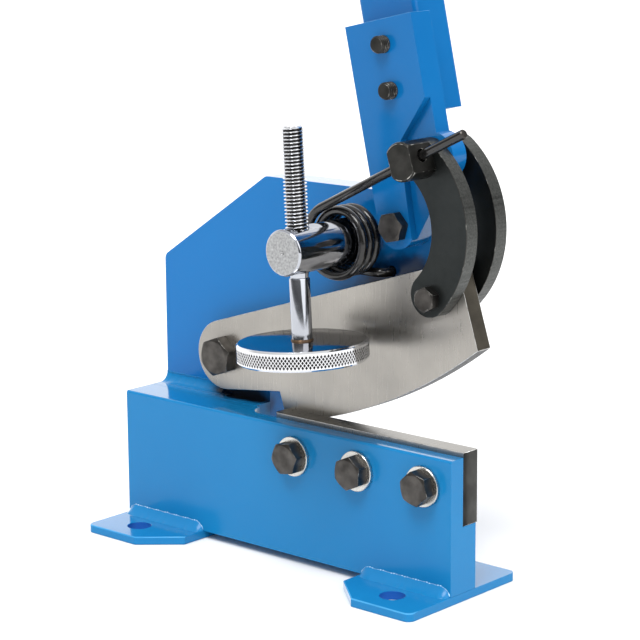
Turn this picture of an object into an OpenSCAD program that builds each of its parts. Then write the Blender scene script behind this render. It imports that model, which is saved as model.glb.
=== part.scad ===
// Bench lever shear: a welded frame on two feet, a curved moving blade pulled down by
// a hand lever through a pair of curved links, a return spring and a screwed hold-down.
// Places are counted from the beam's left end, the beam's front face and the feet's top,
// with X along the beam to the right, Y to the rear and Z up.
// The whole part is then set with its origin midway between the two base holes.

/* [Beam] */
// Length of the front beam
beam_length = 263; // [255:1:285]
// Height of the front beam
beam_height = 80; // [76:1:86]
// Thickness of the front beam
beam_thickness = 23; // [21:0.5:25]
// Radius of the beam's top front edge
beam_edge_radius = 1.5; // [0.5:0.5:3]
// Thickness of the web left in front of the fixed blade
web_thickness = 11; // [9:0.5:13]
// Radius of the cutter that milled the blade's notch
notch_radius = 12; // [6:0.5:12]
// Distance of the spacer plate's end from the notch's end
spacer_gap = 4; // [2:0.5:6]
// Width of the slot that the moving blade drops into
blade_slot = 13.4; // [13:0.1:16]

/* [Upright plate] */
// Thickness of the upright plate
upright_thickness = 20; // [16:1:24]
// Height of the upright plate above the feet
upright_height = 221.5; // [219:0.5:240]
// Inset of the upright's left edge from the beam's end
upright_inset = 0.5; // [0.5:0.5:4]
// Distance of the upright's right edge from the beam's right end
upright_short = 44; // [43.5:0.5:46]
// Height where the slanted top left corner starts
slant_low = 163; // [150:1:180]
// Distance of the slant's upper end from the beam's left end
slant_run = 89.2; // [70:1:110]
// Radius of the upright's outer corners
upright_corner = 5; // [2:1:8]
// Height of the upright's sill behind the beam
sill_height = 60; // [50:1:66]
// Height of the throat's upper corner
throat_height = 100; // [96:1:104]
// Height of the jaw's upper edge at the upright's right edge
jaw_height = 135; // [125:1:145]
// Radius of the throat's corners
throat_radius = 4; // [2:1:5]

/* [Feet] */
// Thickness of the feet
foot_thickness = 5; // [4:0.5:8]
// Width of each foot along the beam
foot_width = 66.5; // [60:0.5:75]
// Reach of the feet ahead of the beam's front face
foot_front = 36.8; // [32:0.2:42]
// Reach of the feet behind the upright plate
foot_back = 6; // [3:1:12]
// Width cut off each foot's inner front corner
foot_cut_width = 23.5; // [15:0.5:30]
// Depth cut off each foot's inner front corner
foot_cut_depth = 20.5; // [10:0.5:25]
// Radius of the feet's outer corners
foot_corner = 4.5; // [2:0.5:8]
// Diameter of the base holes
base_hole = 15; // [11:0.5:17]
// Distance of the base holes from the beam's ends
hole_inset = 28; // [24:0.5:32]
// Distance of the base holes ahead of the beam's front face
hole_ahead = 18; // [14:0.5:22]
// Leg length of the weld beads
weld_leg = 6.5; // [4:0.5:8]
// Distance by which the weld between spacer and upright stops short of the spacer's end
corner_weld_short = 30.5; // [29:0.5:50]

/* [Fixed blade] */
// Distance of the fixed blade's left end from its first bolt
first_bolt_inset = 26; // [22:1:30]
// Thickness of the fixed blade
fixed_thickness = 13.15; // [12.5:0.05:13.2]
// Height of the fixed blade
fixed_height = 43.4; // [40:0.1:46]
// Height by which the fixed blade stands above the beam
fixed_proud = 2.8; // [1:0.1:4]
// Size of the trimmed corner of the fixed blade
fixed_trim = 2; // [1:0.5:3]
// Space between the notch's end and the fixed blade
notch_gap = 23; // [20:0.5:24]
// Spacing of the fixed blade's bolts
bolt_spacing = 49.5; // [45:0.5:50]
// Distance of the last bolt from the beam's right end
last_bolt_inset = 20; // [16:0.5:24]
// Depth of the bolts below the fixed blade's top
bolt_depth = 20.6; // [18:0.2:24]
// Diameter of the fixed blade's bolts
blade_bolt_d = 12; // [10:1:14]
// Width across the flats of those bolt heads
blade_bolt_flats = 18; // [16:1:20]
// Height of those bolt heads
blade_bolt_head = 7.5; // [6:0.5:9]
// Diameter of the bright washers
blade_washer_d = 24; // [22:1:28]
// Thickness of the bright washers
blade_washer_t = 2.5; // [1.5:0.5:3.5]

/* [Moving blade] */
// Distance of the blade pivot from the spacer's end
pivot_inset = 28; // [26:0.5:31]
// Height of the blade pivot
pivot_height = 108; // [106:0.5:112]
// Drop of the lower link bolt below the lever pivot in the open position
link_drop = 37.57; // [36:0.01:40]
// Thickness of the moving blade
blade_thickness = 12; // [10:0.5:12.5]
// Length of the moving blade beyond the lower link bolt
blade_beyond = 16.9; // [15:0.1:18]
// Radius of the moving blade's tail
tail_radius = 21.8; // [20:0.1:23]
// Radius of the curved cutting edge
edge_radius = 345.3; // [320:0.1:380]
// Place of the cutting edge's deepest point along the blade
edge_place = 82.3; // [78:0.1:90]
// Depth of the cutting edge below the pivot line
edge_depth = 50.8; // [49:0.1:52]
// Place of the heel where the cutting edge starts
heel_place = 40.5; // [38:0.1:44]
// Depth of the tail's lower edge at the heel
heel_depth = 29.6; // [27:0.1:31]
// Diameter of the blade pivot bolt
pivot_bolt_d = 14; // [12:1:16]
// Width across the flats of the blade pivot bolt
pivot_bolt_flats = 22; // [20:1:24]
// Height of the blade pivot bolt's head
pivot_bolt_head = 8.8; // [7:0.2:10]
// Distance by which the lower link bolt lies further along the blade than the lever pivot
link_beyond = 38.4; // [37:0.1:40]
// Height of the lower link bolt above the pivot line
link_rise = 4.8; // [3:0.1:6]
// Diameter of the clearance hole round the link bolt
link_hole_d = 17; // [16.8:0.1:17.4]
// Shift of the clearance hole along the blade
link_hole_shift = 3.9; // [3.8:0.1:4]
// Shift of the clearance hole towards the blade's back
link_hole_lift = 1.1; // [1:0.1:1.2]

/* [Lever] */
// Distance of the lever pivot from the upright's right edge
lever_inset = 12; // [11.5:0.1:13]
// Height of the lever pivot
lever_height = 205; // [204.5:0.1:206]
// Tilt of the lever to the left in the open position, degrees
lever_tilt = 12.4; // [11:0.1:14]
// Thickness of the lever plate
lever_thickness = 17; // [16:0.5:18]
// Width of the lever plate
lever_width = 49.4; // [46:0.2:52]
// Length of the lever plate above its pivot
lever_length = 117; // [112:1:130]
// Radius of the lever plate's lower end
lever_round = 13.3; // [12.5:0.1:14]
// Sideways place of the upper link pivot on the lever
ear_place = 31.4; // [30:0.1:32]
// Height of the upper link pivot along the lever
ear_height = 35.6; // [34:0.1:37]
// Radius of the lever's ear
ear_radius = 14; // [12.5:0.5:15]
// Depth of the recess that the front link lies in
recess_depth = 5.1; // [5.1:0.1:6]
// Sideways place of the recess's edge at its upper corner
recess_top_place = 13.9; // [13:0.1:15]
// Height of the recess's upper corner
recess_top_height = 48; // [46:0.5:50]
// Sideways place of the recess's edge at mid height
recess_mid_place = 11.3; // [11:0.1:12]
// Sideways place of the recess's edge at its lower end
recess_low_place = 9.9; // [9.7:0.1:10.5]
// Height where the recess runs out at the lever's right edge
recess_out_height = 69; // [66:0.5:75]
// Diameter of the lever pivot bolt
lever_bolt_d = 10; // [8:1:12]
// Width across the flats of the lever pivot bolt
lever_bolt_flats = 16; // [15:1:17]
// Height of the lever pivot bolt's head
lever_bolt_head = 6.6; // [5:0.2:8]

/* [Handle] */
// Width of the handle tube
tube_width = 42; // [38:1:45]
// Distance by which the handle tube stands left of the lever's left edge
tube_shift = 2; // [0:0.5:3]
// Depth of the handle tube
tube_depth = 28.5; // [24:0.5:34]
// Wall of the handle tube
tube_wall = 2; // [1.5:0.5:3]
// Corner radius of the handle tube
tube_corner = 3; // [2.5:0.5:4]
// Length of the handle tube
tube_length = 400; // [250:10:600]
// Height of the tube's lower end along the lever
tube_start = 61.5; // [60:0.5:64]
// Height of the lower handle bolt along the lever
handle_bolt_low = 76.5; // [74:0.5:80]
// Spacing of the handle bolts
handle_bolt_spacing = 26.3; // [24:0.1:30]
// Sideways place of the handle bolts on the lever
handle_bolt_place = 12.8; // [10:0.1:16]
// Diameter of the handle bolts
handle_bolt_d = 10; // [8:1:10]
// Length of the handle bolts' ends in front of the lever
handle_bolt_out = 6.5; // [4:0.5:9]
// Height of the plug's cap on the handle's end
plug_cap = 3; // [2:0.5:6]
// Depth of the plug inside the handle
plug_depth = 12; // [8:1:20]

/* [Links] */
// Thickness of each link
link_thickness = 10; // [9:0.1:10.1]
// Distance of the rear link behind the upright's front face
rear_link_gap = 4.9; // [4:0.1:5.5]
// Inner radius of the curved links
link_inner = 38.1; // [36:0.1:39]
// Outer radius of the curved links
link_outer = 63.1; // [62:0.1:65]
// Distance of the curve's centre from the line between the link's pivots
link_bow = 34.3; // [33:0.1:36]
// Diameter of the link bolt
link_bolt_d = 8; // [7:0.5:8]
// Width across the flats of the link bolt
link_bolt_flats = 13; // [12:1:14]
// Height of the link bolt's head
link_bolt_head = 6; // [4.5:0.5:7]
// Diameter of the link pin's head
pin_head_d = 22.5; // [22:0.5:25]
// Length of the link pin's head
pin_head_length = 19.8; // [17:0.1:22]
// Width across the flats of the link pin's head
pin_flats = 16; // [16:0.5:20]
// Diameter of the link pin's shank
pin_d = 12; // [10:1:13]
// Diameter of the cross hole in the link pin
pin_hole_d = 7.5; // [7.2:0.1:8]
// Depth of the cross hole behind the pin's front face
pin_hole_depth = 10.5; // [9:0.5:11]
// Chamfer of the link pin's front edge
pin_chamfer = 1; // [0.5:0.5:2]
// Diameter of the washer behind the links on the link pin
pin_washer_d = 18; // [17.5:0.5:24]
// Diameter of the ring that keeps the link pin in
pin_ring_d = 16.5; // [16:0.5:20]

/* [Hold-down] */
// Distance of the post to the left of the lever pivot
post_left = 37; // [36:0.5:39]
// Height of the post
post_height = 193; // [192.5:0.5:196]
// Diameter of the post
post_d = 27; // [24:0.5:28]
// Lean of the hold-down screw to the left, degrees
post_lean = 2.9; // [0:0.1:4]
// Reach of the post ahead of the beam's front face
post_front = 36.7; // [34:0.1:42]
// Chamfer of the post's front edge
post_chamfer = 1; // [0.5:0.5:2]
// Diameter of the post's threaded stub through the upright
post_stub_d = 12; // [10:1:14]
// Distance of the screw ahead of the beam's front face
screw_ahead = 23.5; // [21:0.5:26]
// Outer diameter of the screw's thread
screw_d = 13.5; // [12.5:0.5:14]
// Diameter of the plain rod under the thread
rod_d = 12; // [10:0.5:12]
// Height of the screw's top, as it would stand upright
screw_top = 264; // [255:1:285]
// Height where the thread gives way to the plain rod, as it would stand upright
thread_end = 174; // [170:1:178]
// Diameter of the pressing disc
disc_d = 76.5; // [66:0.5:78]
// Thickness of the pressing disc
disc_thickness = 11.6; // [10:0.1:14]
// Height of the disc's top in the raised position, as it would stand upright
disc_top = 141; // [139:1:146]
// Chamfer of the disc's edges
disc_chamfer = 1; // [0.5:0.5:2]
// Height of the brazed ring round the rod
braze_height = 1.2; // [0.8:0.1:2]
// Width of the brazed ring round the rod
braze_width = 1.4; // [0.8:0.1:2]

/* [Return spring] */
// Diameter of the spring wire
wire_d = 5.5; // [5:0.1:5.6]
// Mean radius of the spring's turns
coil_radius = 18.5; // [18:0.1:19]
// Distance of the straight arm from the post's axis
arm_offset = 22.1; // [21.6:0.1:22.5]
// Full turns after the first part turn
coil_turns = 3; // [2:1:3]
// Distance between neighbouring turns
coil_pitch = 5.95; // [5.95:0.01:6.2]
// Length of the arm beyond the link pin
arm_beyond = 41; // [30:1:50]
// Place of the arm behind the beam's front face at the coil
arm_back = 7.6; // [7:0.1:8]
// Length of the straight part under the coil
leg_run = 13; // [11:0.5:14]
// Radius of the bend into the upright
leg_bend = 6.5; // [6:0.5:8]
// Depth of the wire's end inside the upright
leg_depth = 9; // [6:0.5:14]

/* [Rear fasteners] */
// Share of the bolt diameter in a nut's height
nut_height_share = 0.8; // [0.6:0.05:0.9]
// Share of the bolt diameter in a nut's width across flats
nut_flats_share = 1.6; // [1.5:0.05:1.7]
// Share of the bolt diameter in a plain washer's diameter
washer_share = 2; // [1.8:0.1:2.2]
// Thickness of the plain washers
washer_t = 2; // [1.5:0.1:3]
// Length of the bolt ends beyond their nuts
bolt_beyond = 3; // [1:0.5:6]

/* [Hidden] */

// Fineness of round faces and of rounded outline corners
round_sides = 64;
edge_steps = 24;
corner_steps = 5;

// Running clearance of pins in their holes, side gap of sliding plates and overrun of cuts
fit_gap = 0.05;
side_gap = 0.1;
overrun = 1;

// Share of the head height that is chamfered, and share of the flats left as a round face
chamfer_share = 0.12;
face_share = 0.94;
// Share of the shank diameter that the end chamfer takes off
end_chamfer_share = 0.1;

// Turn of each bolt head about its own axis, degrees
fixed_bolt_turns = [9, 25, 43];
pivot_bolt_turn = 20.5;
lever_bolt_turn = 13;
link_bolt_turn = 27;
nut_turn = 12;
pin_flat_turn = 17;

// Faces of the plates, front to rear
slot_front = beam_thickness;
upright_front = beam_thickness + blade_slot;
upright_rear = upright_front + upright_thickness;
blade_rear = upright_front - side_gap;
blade_front = blade_rear - blade_thickness;
lever_rear = upright_front - side_gap;
lever_front = lever_rear - lever_thickness;
recess_floor = lever_front + recess_depth;
front_link_rear = min(blade_front, recess_floor) - side_gap;
front_link_front = front_link_rear - link_thickness;
rear_link_front = upright_front + rear_link_gap;
rear_link_rear = rear_link_front + link_thickness;
fixed_front = web_thickness;
fixed_rear = web_thickness + fixed_thickness;
fixed_length = first_bolt_inset + 2 * bolt_spacing + last_bolt_inset;
fixed_left = beam_length - fixed_length;
notch_left = fixed_left - notch_gap;
spacer_length = notch_left - spacer_gap;
corner_weld_length = spacer_length - upright_inset - corner_weld_short;
upright_reach = beam_length - upright_short;
fixed_top = beam_height + fixed_proud;
fixed_seat = fixed_top - fixed_height;
foot_rear = upright_rear + foot_back;

// Places of the pivots in the plane of the plates
pivot_place = spacer_length - pivot_inset;
lever_place = upright_reach - lever_inset;
post_place = lever_place - post_left;
link_place = lever_place - pivot_place + link_beyond;
blade_reach = link_place + blade_beyond;
blade_slope = asin((lever_height - link_drop - pivot_height) / norm([link_place, link_rise]))
    - atan2(link_rise, link_place);
blade_pivot = [pivot_place, pivot_height];
lever_pivot = [lever_place, lever_height];
blade_along = [cos(blade_slope), sin(blade_slope)];
blade_up = [-sin(blade_slope), cos(blade_slope)];
lever_side = [cos(lever_tilt), sin(lever_tilt)];
lever_along = [-sin(lever_tilt), cos(lever_tilt)];
link_pivot = blade_pivot + blade_along * link_place + blade_up * link_rise;
ear_pivot = lever_pivot + lever_side * ear_place + lever_along * ear_height;
link_line = link_pivot - ear_pivot;
link_span = norm(link_line);
link_centre = (link_pivot + ear_pivot) / 2
    + [link_line.y, -link_line.x] / link_span * link_bow;
link_upper_angle = atan2(ear_pivot.y - link_centre.y, ear_pivot.x - link_centre.x);
link_lower_angle = atan2(link_pivot.y - link_centre.y, link_pivot.x - link_centre.x);
link_middle = (link_inner + link_outer) / 2;
link_half = (link_outer - link_inner) / 2;

// The spring's arm runs from the coil through the link pin
post_axis = [post_place, post_height];
pin_front = front_link_front - pin_head_length;
arm_y = pin_front + pin_hole_depth;
to_ear = ear_pivot - post_axis;
arm_angle = atan2(to_ear.y, to_ear.x) - asin(arm_offset / norm(to_ear));
arm_length = sqrt(norm(to_ear) ^ 2 - arm_offset ^ 2);
arm_dir = [cos(arm_angle), sin(arm_angle)];

// Unit vector, and the points of one rounded corner of an outline
function unit(v) = v / norm(v);
function corner_points(a, b, c, r) =
    let (
        u = unit(a - b),
        v = unit(c - b),
        half = acos(u * v) / 2,
        centre = b + unit(u + v) * r / sin(half),
        p = b + u * r / tan(half),
        q = b + v * r / tan(half),
        start = atan2(p.y - centre.y, p.x - centre.x),
        turn = atan2(q.y - centre.y, q.x - centre.x) - start,
        sweep = turn > 180 ? turn - 360 : turn < -180 ? turn + 360 : turn
    )
    r == 0 ? [b] : [for (i = [0 : corner_steps])
        centre + r * [cos(start + sweep * i / corner_steps),
            sin(start + sweep * i / corner_steps)]];

// Outline with rounded corners, from a list of places with a radius each
function rounded(list) =
    [for (i = [0 : len(list) - 1])
        let (
            n = len(list),
            a = list[(i + n - 1) % n],
            b = list[i],
            c = list[(i + 1) % n]
        )
        each corner_points([a.x, a.y], [b.x, b.y], [c.x, c.y], b.z)];

// Points of an arc from one angle to another
function arc_points(centre, radius, from, to) =
    [for (i = [0 : edge_steps])
        let (angle = from + (to - from) * i / edge_steps)
        centre + radius * [cos(angle), sin(angle)]];

// The whole part's origin lies midway between the base holes, under the feet
module place() {
    translate([-beam_length / 2, hole_ahead, foot_thickness])
        children();
}

// Turns the hold-down about the post's axis, so that its screw leans
module lean() {
    translate([post_axis.x, 0, post_axis.y])
        rotate([0, -post_lean, 0])
            translate([-post_axis.x, 0, -post_axis.y])
                children();
}

// A plate whose outline is drawn in X and Z, from one Y to another
module plate(front, rear) {
    translate([0, rear, 0])
        rotate([90, 0, 0])
            linear_extrude(height = rear - front)
                children();
}

// A round bar along Y at a place in X and Z
module bar(centre, radius, front, rear) {
    translate([centre.x, rear, centre.y])
        rotate([90, 0, 0])
            cylinder(h = rear - front, r = radius, $fn = round_sides);
}

// A round bar with a chamfered rear end
module bolt_shank(centre, diameter, front, rear) {
    bite = diameter * end_chamfer_share;
    bar(centre, diameter / 2, front, rear - bite);
    translate([centre.x, rear, centre.y])
        rotate([90, 0, 0])
            cylinder(h = bite, r1 = diameter / 2 - bite, r2 = diameter / 2,
                $fn = round_sides);
}

// A hexagon with one chamfered end, standing on the plane Z = 0
module hex_block(flats, height) {
    bite = height * chamfer_share;
    intersection() {
        linear_extrude(height = height)
            circle(r = flats / 2 / cos(30), $fn = 6);
        union() {
            cylinder(h = height - bite, r = flats / 2 / cos(30) + side_gap,
                $fn = round_sides);
            translate([0, 0, height - bite])
                cylinder(h = bite, r1 = flats / 2 / cos(30) + side_gap,
                    r2 = flats / 2 * face_share, $fn = round_sides);
        }
    }
}

// A bolt whose head faces the front
module front_bolt(centre, seat, flats, head, diameter, rear, turn) {
    translate([centre.x, seat, centre.y])
        rotate([90, 0, 0])
            rotate([0, 0, turn])
                hex_block(flats, head);
    bolt_shank(centre, diameter, seat, rear);
}

// A nut that sits on a face towards the rear
module rear_nut(centre, seat, diameter) {
    difference() {
        translate([centre.x, seat, centre.y])
            rotate([-90, 0, 0])
                rotate([0, 0, nut_turn])
                    hex_block(diameter * nut_flats_share, diameter * nut_height_share);
        bar(centre, diameter / 2 + fit_gap, seat - overrun,
            seat + diameter * nut_height_share + overrun);
    }
}

// A plain washer with its front face at the seat
module plain_washer(centre, seat, diameter, outer, thickness) {
    difference() {
        bar(centre, outer / 2, seat, seat + thickness);
        bar(centre, diameter / 2 + fit_gap, seat - overrun, seat + thickness + overrun);
    }
}

// Rear end of a bolt that carries a plain washer and a nut behind a seat
function bolt_rear(seat, diameter) =
    seat + washer_t + diameter * nut_height_share + bolt_beyond;

// Places of the bolts that hold the fixed blade
function fixed_bolt(i) =
    [beam_length - last_bolt_inset - (2 - i) * bolt_spacing, fixed_top - bolt_depth];

// Front beam with the milled notch for the fixed blade
module frame_beam() {
    color([0.16, 0.47, 0.76])
    place()
    difference() {
        rotate([90, 0, 90])
            linear_extrude(height = beam_length)
                polygon(rounded([[0, 0, 0], [beam_thickness, 0, 0],
                    [beam_thickness, beam_height, 0], [0, beam_height, beam_edge_radius]]));
        translate([0, 0, fixed_seat])
            linear_extrude(height = beam_height)
                polygon(rounded([[notch_left, web_thickness, notch_radius],
                    [beam_length + overrun, web_thickness, 0],
                    [beam_length + overrun, beam_thickness + overrun, 0],
                    [notch_left, beam_thickness + overrun, 0]]));
        for (i = [0 : 2])
            bar(fixed_bolt(i), blade_bolt_d / 2 + fit_gap, -overrun,
                web_thickness + overrun);
    }
}

// Plate that spaces the upright from the beam and ends the blade's slot
module spacer_plate() {
    color([0.16, 0.47, 0.76])
    place()
    linear_extrude(height = beam_height)
        polygon(rounded([[0, slot_front, 0], [spacer_length, slot_front, beam_edge_radius],
            [spacer_length, upright_front, 0], [0, upright_front, 0]]));
}

// Rear plate with the open jaw that lets the work pass behind the blades
module upright_plate() {
    color([0.16, 0.47, 0.76])
    place()
    difference() {
        plate(upright_front, upright_rear)
            polygon(rounded([[upright_inset, 0, 0], [upright_reach, 0, 0],
                [upright_reach, sill_height, upright_corner],
                [spacer_length, sill_height, throat_radius],
                [spacer_length, throat_height, throat_radius],
                [upright_reach, jaw_height, upright_corner],
                [upright_reach, upright_height, upright_corner],
                [slant_run, upright_height, upright_corner],
                [upright_inset, slant_low, upright_corner]]));
        bar(blade_pivot, pivot_bolt_d / 2 + fit_gap, upright_front - overrun,
            upright_rear + overrun);
        bar(lever_pivot, lever_bolt_d / 2 + fit_gap, upright_front - overrun,
            upright_rear + overrun);
        bar(post_axis, post_stub_d / 2 + fit_gap, upright_front - overrun,
            upright_rear + overrun);
        bar([leg_x, leg_z], wire_d / 2 + 4 * side_gap, upright_front - overrun,
            upright_front + leg_depth + overrun);
    }
}

// Plan of the left foot
module foot_plan() {
    polygon(rounded([[0, -foot_front, foot_corner],
        [foot_width - foot_cut_width, -foot_front, 0],
        [foot_width, foot_cut_depth - foot_front, 0],
        [foot_width, foot_rear, foot_corner], [0, foot_rear, foot_corner]]));
}

// Flat foot with its base hole, drawn for the left end
module foot() {
    difference() {
        translate([0, 0, -foot_thickness])
            linear_extrude(height = foot_thickness)
                foot_plan();
        translate([hole_inset, -hole_ahead, -foot_thickness - overrun])
            cylinder(h = foot_thickness + 2 * overrun, r = base_hole / 2,
                $fn = round_sides);
    }
}

module left_foot() {
    color([0.2, 0.52, 0.8])
    place()
    foot();
}

module right_foot() {
    color([0.2, 0.52, 0.8])
    place()
    translate([beam_length, 0, 0])
        mirror([1, 0, 0])
            foot();
}

// Three-cornered bead along the X axis, from the X given
module bead(from, length) {
    translate([from, 0, 0])
        rotate([90, 0, 90])
            linear_extrude(height = length)
                polygon([[0, 0], [0, weld_leg], [-weld_leg, 0]]);
}

// Beads in the corners between the feet and the beam's front
module foot_welds() {
    color([0.2, 0.52, 0.8])
    place() {
        bead(0, foot_width);
        bead(beam_length - foot_width, foot_width);
    }
}

// Hollow fillet weld between the spacer's top and the upright's front
module corner_weld() {
    color([0.16, 0.47, 0.76])
    place()
    translate([upright_inset, upright_front - weld_leg, beam_height])
        difference() {
            cube([corner_weld_length, weld_leg, weld_leg]);
            translate([-overrun, 0, weld_leg])
                rotate([0, 90, 0])
                    cylinder(h = corner_weld_length + 2 * overrun, r = weld_leg - side_gap,
                        $fn = round_sides);
        }
}

// Fixed lower blade, tapped for its bolts
module fixed_blade() {
    color([0.62, 0.6, 0.57])
    place()
    difference() {
        translate([0, 0, fixed_seat])
            linear_extrude(height = fixed_height)
                polygon([[fixed_left + fixed_trim, fixed_front], [beam_length, fixed_front],
                    [beam_length, fixed_rear], [fixed_left, fixed_rear],
                    [fixed_left, fixed_front + fixed_trim]]);
        for (i = [0 : 2])
            bar(fixed_bolt(i), blade_bolt_d / 2 + fit_gap, fixed_front - overrun,
                fixed_rear + overrun);
    }
}

module fixed_blade_bolts() {
    color([0.2, 0.2, 0.2])
    place()
    for (i = [0 : 2])
        front_bolt(fixed_bolt(i), -blade_washer_t, blade_bolt_flats, blade_bolt_head,
            blade_bolt_d, fixed_rear - overrun, fixed_bolt_turns[i]);
}

module fixed_blade_washers() {
    color([0.85, 0.85, 0.83])
    place()
    for (i = [0 : 2])
        plain_washer(fixed_bolt(i), -blade_washer_t, blade_bolt_d, blade_washer_d,
            blade_washer_t);
}

module blade_pivot_bolt() {
    color([0.2, 0.2, 0.2])
    place()
    front_bolt(blade_pivot, blade_front - side_gap, pivot_bolt_flats, pivot_bolt_head,
        pivot_bolt_d, bolt_rear(upright_rear, pivot_bolt_d), pivot_bolt_turn);
}

module blade_pivot_washer() {
    color([0.3, 0.3, 0.3])
    place()
    plain_washer(blade_pivot, upright_rear, pivot_bolt_d, pivot_bolt_d * washer_share,
        washer_t);
}

module blade_pivot_nut() {
    color([0.2, 0.2, 0.2])
    place()
    rear_nut(blade_pivot, upright_rear + washer_t, pivot_bolt_d);
}

module lever_pivot_bolt() {
    color([0.2, 0.2, 0.2])
    place()
    front_bolt(lever_pivot, lever_front - side_gap, lever_bolt_flats, lever_bolt_head,
        lever_bolt_d, bolt_rear(upright_rear, lever_bolt_d), lever_bolt_turn);
}

module lever_pivot_washer() {
    color([0.3, 0.3, 0.3])
    place()
    plain_washer(lever_pivot, upright_rear, lever_bolt_d, lever_bolt_d * washer_share,
        washer_t);
}

module lever_pivot_nut() {
    color([0.2, 0.2, 0.2])
    place()
    rear_nut(lever_pivot, upright_rear + washer_t, lever_bolt_d);
}

// Polished post that carries the hold-down screw and the spring's turns
module hold_down_post() {
    color([0.78, 0.79, 0.8])
    place()
    difference() {
        union() {
            bar(post_axis, post_d / 2, post_chamfer - post_front, upright_front);
            translate([post_axis.x, post_chamfer - post_front, post_axis.y])
                rotate([90, 0, 0])
                    cylinder(h = post_chamfer, r1 = post_d / 2,
                        r2 = post_d / 2 - post_chamfer, $fn = round_sides);
            bolt_shank(post_axis, post_stub_d, upright_front,
                bolt_rear(upright_rear, post_stub_d));
        }
        lean()
            translate([post_axis.x, -screw_ahead, post_axis.y - post_d])
                cylinder(h = 2 * post_d, r = screw_d / 2 + fit_gap, $fn = round_sides);
    }
}

module post_washer() {
    color([0.3, 0.3, 0.3])
    place()
    plain_washer(post_axis, upright_rear, post_stub_d, post_stub_d * washer_share,
        washer_t);
}

module post_nut() {
    color([0.2, 0.2, 0.2])
    place()
    rear_nut(post_axis, upright_rear + washer_t, post_stub_d);
}

// Depth of the cutting edge at a place along the moving blade
function edge_at(along) =
    edge_radius - edge_depth - sqrt(edge_radius ^ 2 - (along - edge_place) ^ 2);

// Outline of the moving blade about its pivot, with its back along X
module blade_outline() {
    heel = [heel_place, -heel_depth];
    touch = atan2(heel.y, heel.x) - acos(tail_radius / norm(heel)) + 360;
    polygon(concat(
        [[blade_reach, tail_radius]],
        [for (i = [0 : edge_steps])
            let (along = blade_reach + (heel_place - blade_reach) * i / edge_steps)
            [along, edge_at(along)]],
        [heel],
        arc_points([0, 0], tail_radius, touch, 90)
    ));
}

// Moving blade with its curved edge, the link bolt's hole has clearance all round
module moving_blade() {
    hole = link_pivot + blade_along * link_hole_shift + blade_up * link_hole_lift;
    color([0.62, 0.62, 0.6])
    place()
    difference() {
        plate(blade_front, blade_rear)
            translate(blade_pivot)
                rotate(blade_slope)
                    blade_outline();
        bar(blade_pivot, pivot_bolt_d / 2 + fit_gap, blade_front - overrun,
            blade_rear + overrun);
        bar(hole, link_hole_d / 2, blade_front - overrun, blade_rear + overrun);
    }
}

// Outline of the lever about its pivot, with its length along Y
module lever_outline() {
    ear = [ear_place, ear_height];
    slant = atan2(ear.y, ear.x) - acos((lever_round - ear_radius) / norm(ear));
    right = lever_width - lever_round;
    polygon(concat(
        arc_points([0, 0], lever_round, -180, slant),
        arc_points(ear, ear_radius, slant, acos((right - ear.x) / ear_radius)),
        [[right, lever_length], [-lever_round, lever_length]]
    ));
}

// Part of the lever's outline that is milled back for the front link
module recess_outline() {
    far = lever_width + ear_radius;
    polygon([[recess_low_place, -lever_round - overrun], [far, -lever_round - overrun],
        [far, recess_out_height], [lever_width - lever_round, recess_out_height],
        [recess_top_place, recess_top_height], [recess_mid_place, recess_top_height / 2],
        [recess_low_place, 0]]);
}

// Lever plate with its ear, its recess and the holes for pivot, pin and handle bolts
module lever_plate() {
    color([0.14, 0.45, 0.77])
    place()
    difference() {
        plate(lever_front, lever_rear)
            translate(lever_pivot)
                rotate(lever_tilt)
                    lever_outline();
        plate(lever_front - overrun, recess_floor)
            translate(lever_pivot)
                rotate(lever_tilt)
                    recess_outline();
        bar(lever_pivot, lever_bolt_d / 2 + fit_gap, lever_front - overrun,
            lever_rear + overrun);
        bar(ear_pivot, pin_d / 2 + fit_gap, lever_front - overrun, lever_rear + overrun);
        for (i = [0 : 1])
            bar(handle_bolt(i), handle_bolt_d / 2 + fit_gap, lever_front - overrun,
                lever_rear + overrun);
    }
}

// Place of a handle bolt in the plane of the plates
function handle_bolt(i) =
    lever_pivot + lever_side * handle_bolt_place
    + lever_along * (handle_bolt_low + i * handle_bolt_spacing);

// Moves the plane Z = 0 to a height along the lever, centred on the handle tube
module along_handle(height) {
    middle = lever_pivot + lever_side * (tube_width / 2 - lever_round - tube_shift)
        + lever_along * height;
    translate([middle.x, lever_rear + tube_depth / 2, middle.y])
        rotate([0, -lever_tilt, 0])
            children();
}

// Rounded rectangle about the origin
module tube_section(width, depth, corner) {
    polygon(rounded([[-width / 2, -depth / 2, corner], [width / 2, -depth / 2, corner],
        [width / 2, depth / 2, corner], [-width / 2, depth / 2, corner]]));
}

module handle_tube() {
    color([0.13, 0.44, 0.77])
    place()
    difference() {
        along_handle(tube_start)
            linear_extrude(height = tube_length)
                tube_section(tube_width, tube_depth, tube_corner);
        along_handle(tube_start - overrun)
            linear_extrude(height = tube_length + 2 * overrun)
                tube_section(tube_width - 2 * tube_wall, tube_depth - 2 * tube_wall,
                    tube_corner - tube_wall);
        for (i = [0 : 1])
            bar(handle_bolt(i), handle_bolt_d / 2 + fit_gap, lever_rear - overrun,
                lever_rear + tube_wall + overrun);
    }
}

// Push-in plug that closes the handle's upper end
module handle_end_plug() {
    inner_width = tube_width - 2 * tube_wall - 2 * fit_gap;
    inner_depth = tube_depth - 2 * tube_wall - 2 * fit_gap;
    color([0.1, 0.1, 0.1])
    place() {
        along_handle(tube_start + tube_length)
            linear_extrude(height = plug_cap)
                tube_section(tube_width, tube_depth, tube_corner);
        along_handle(tube_start + tube_length - plug_depth)
            linear_extrude(height = plug_depth + plug_cap / 2)
                tube_section(inner_width, inner_depth, tube_corner - tube_wall);
    }
}

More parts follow.
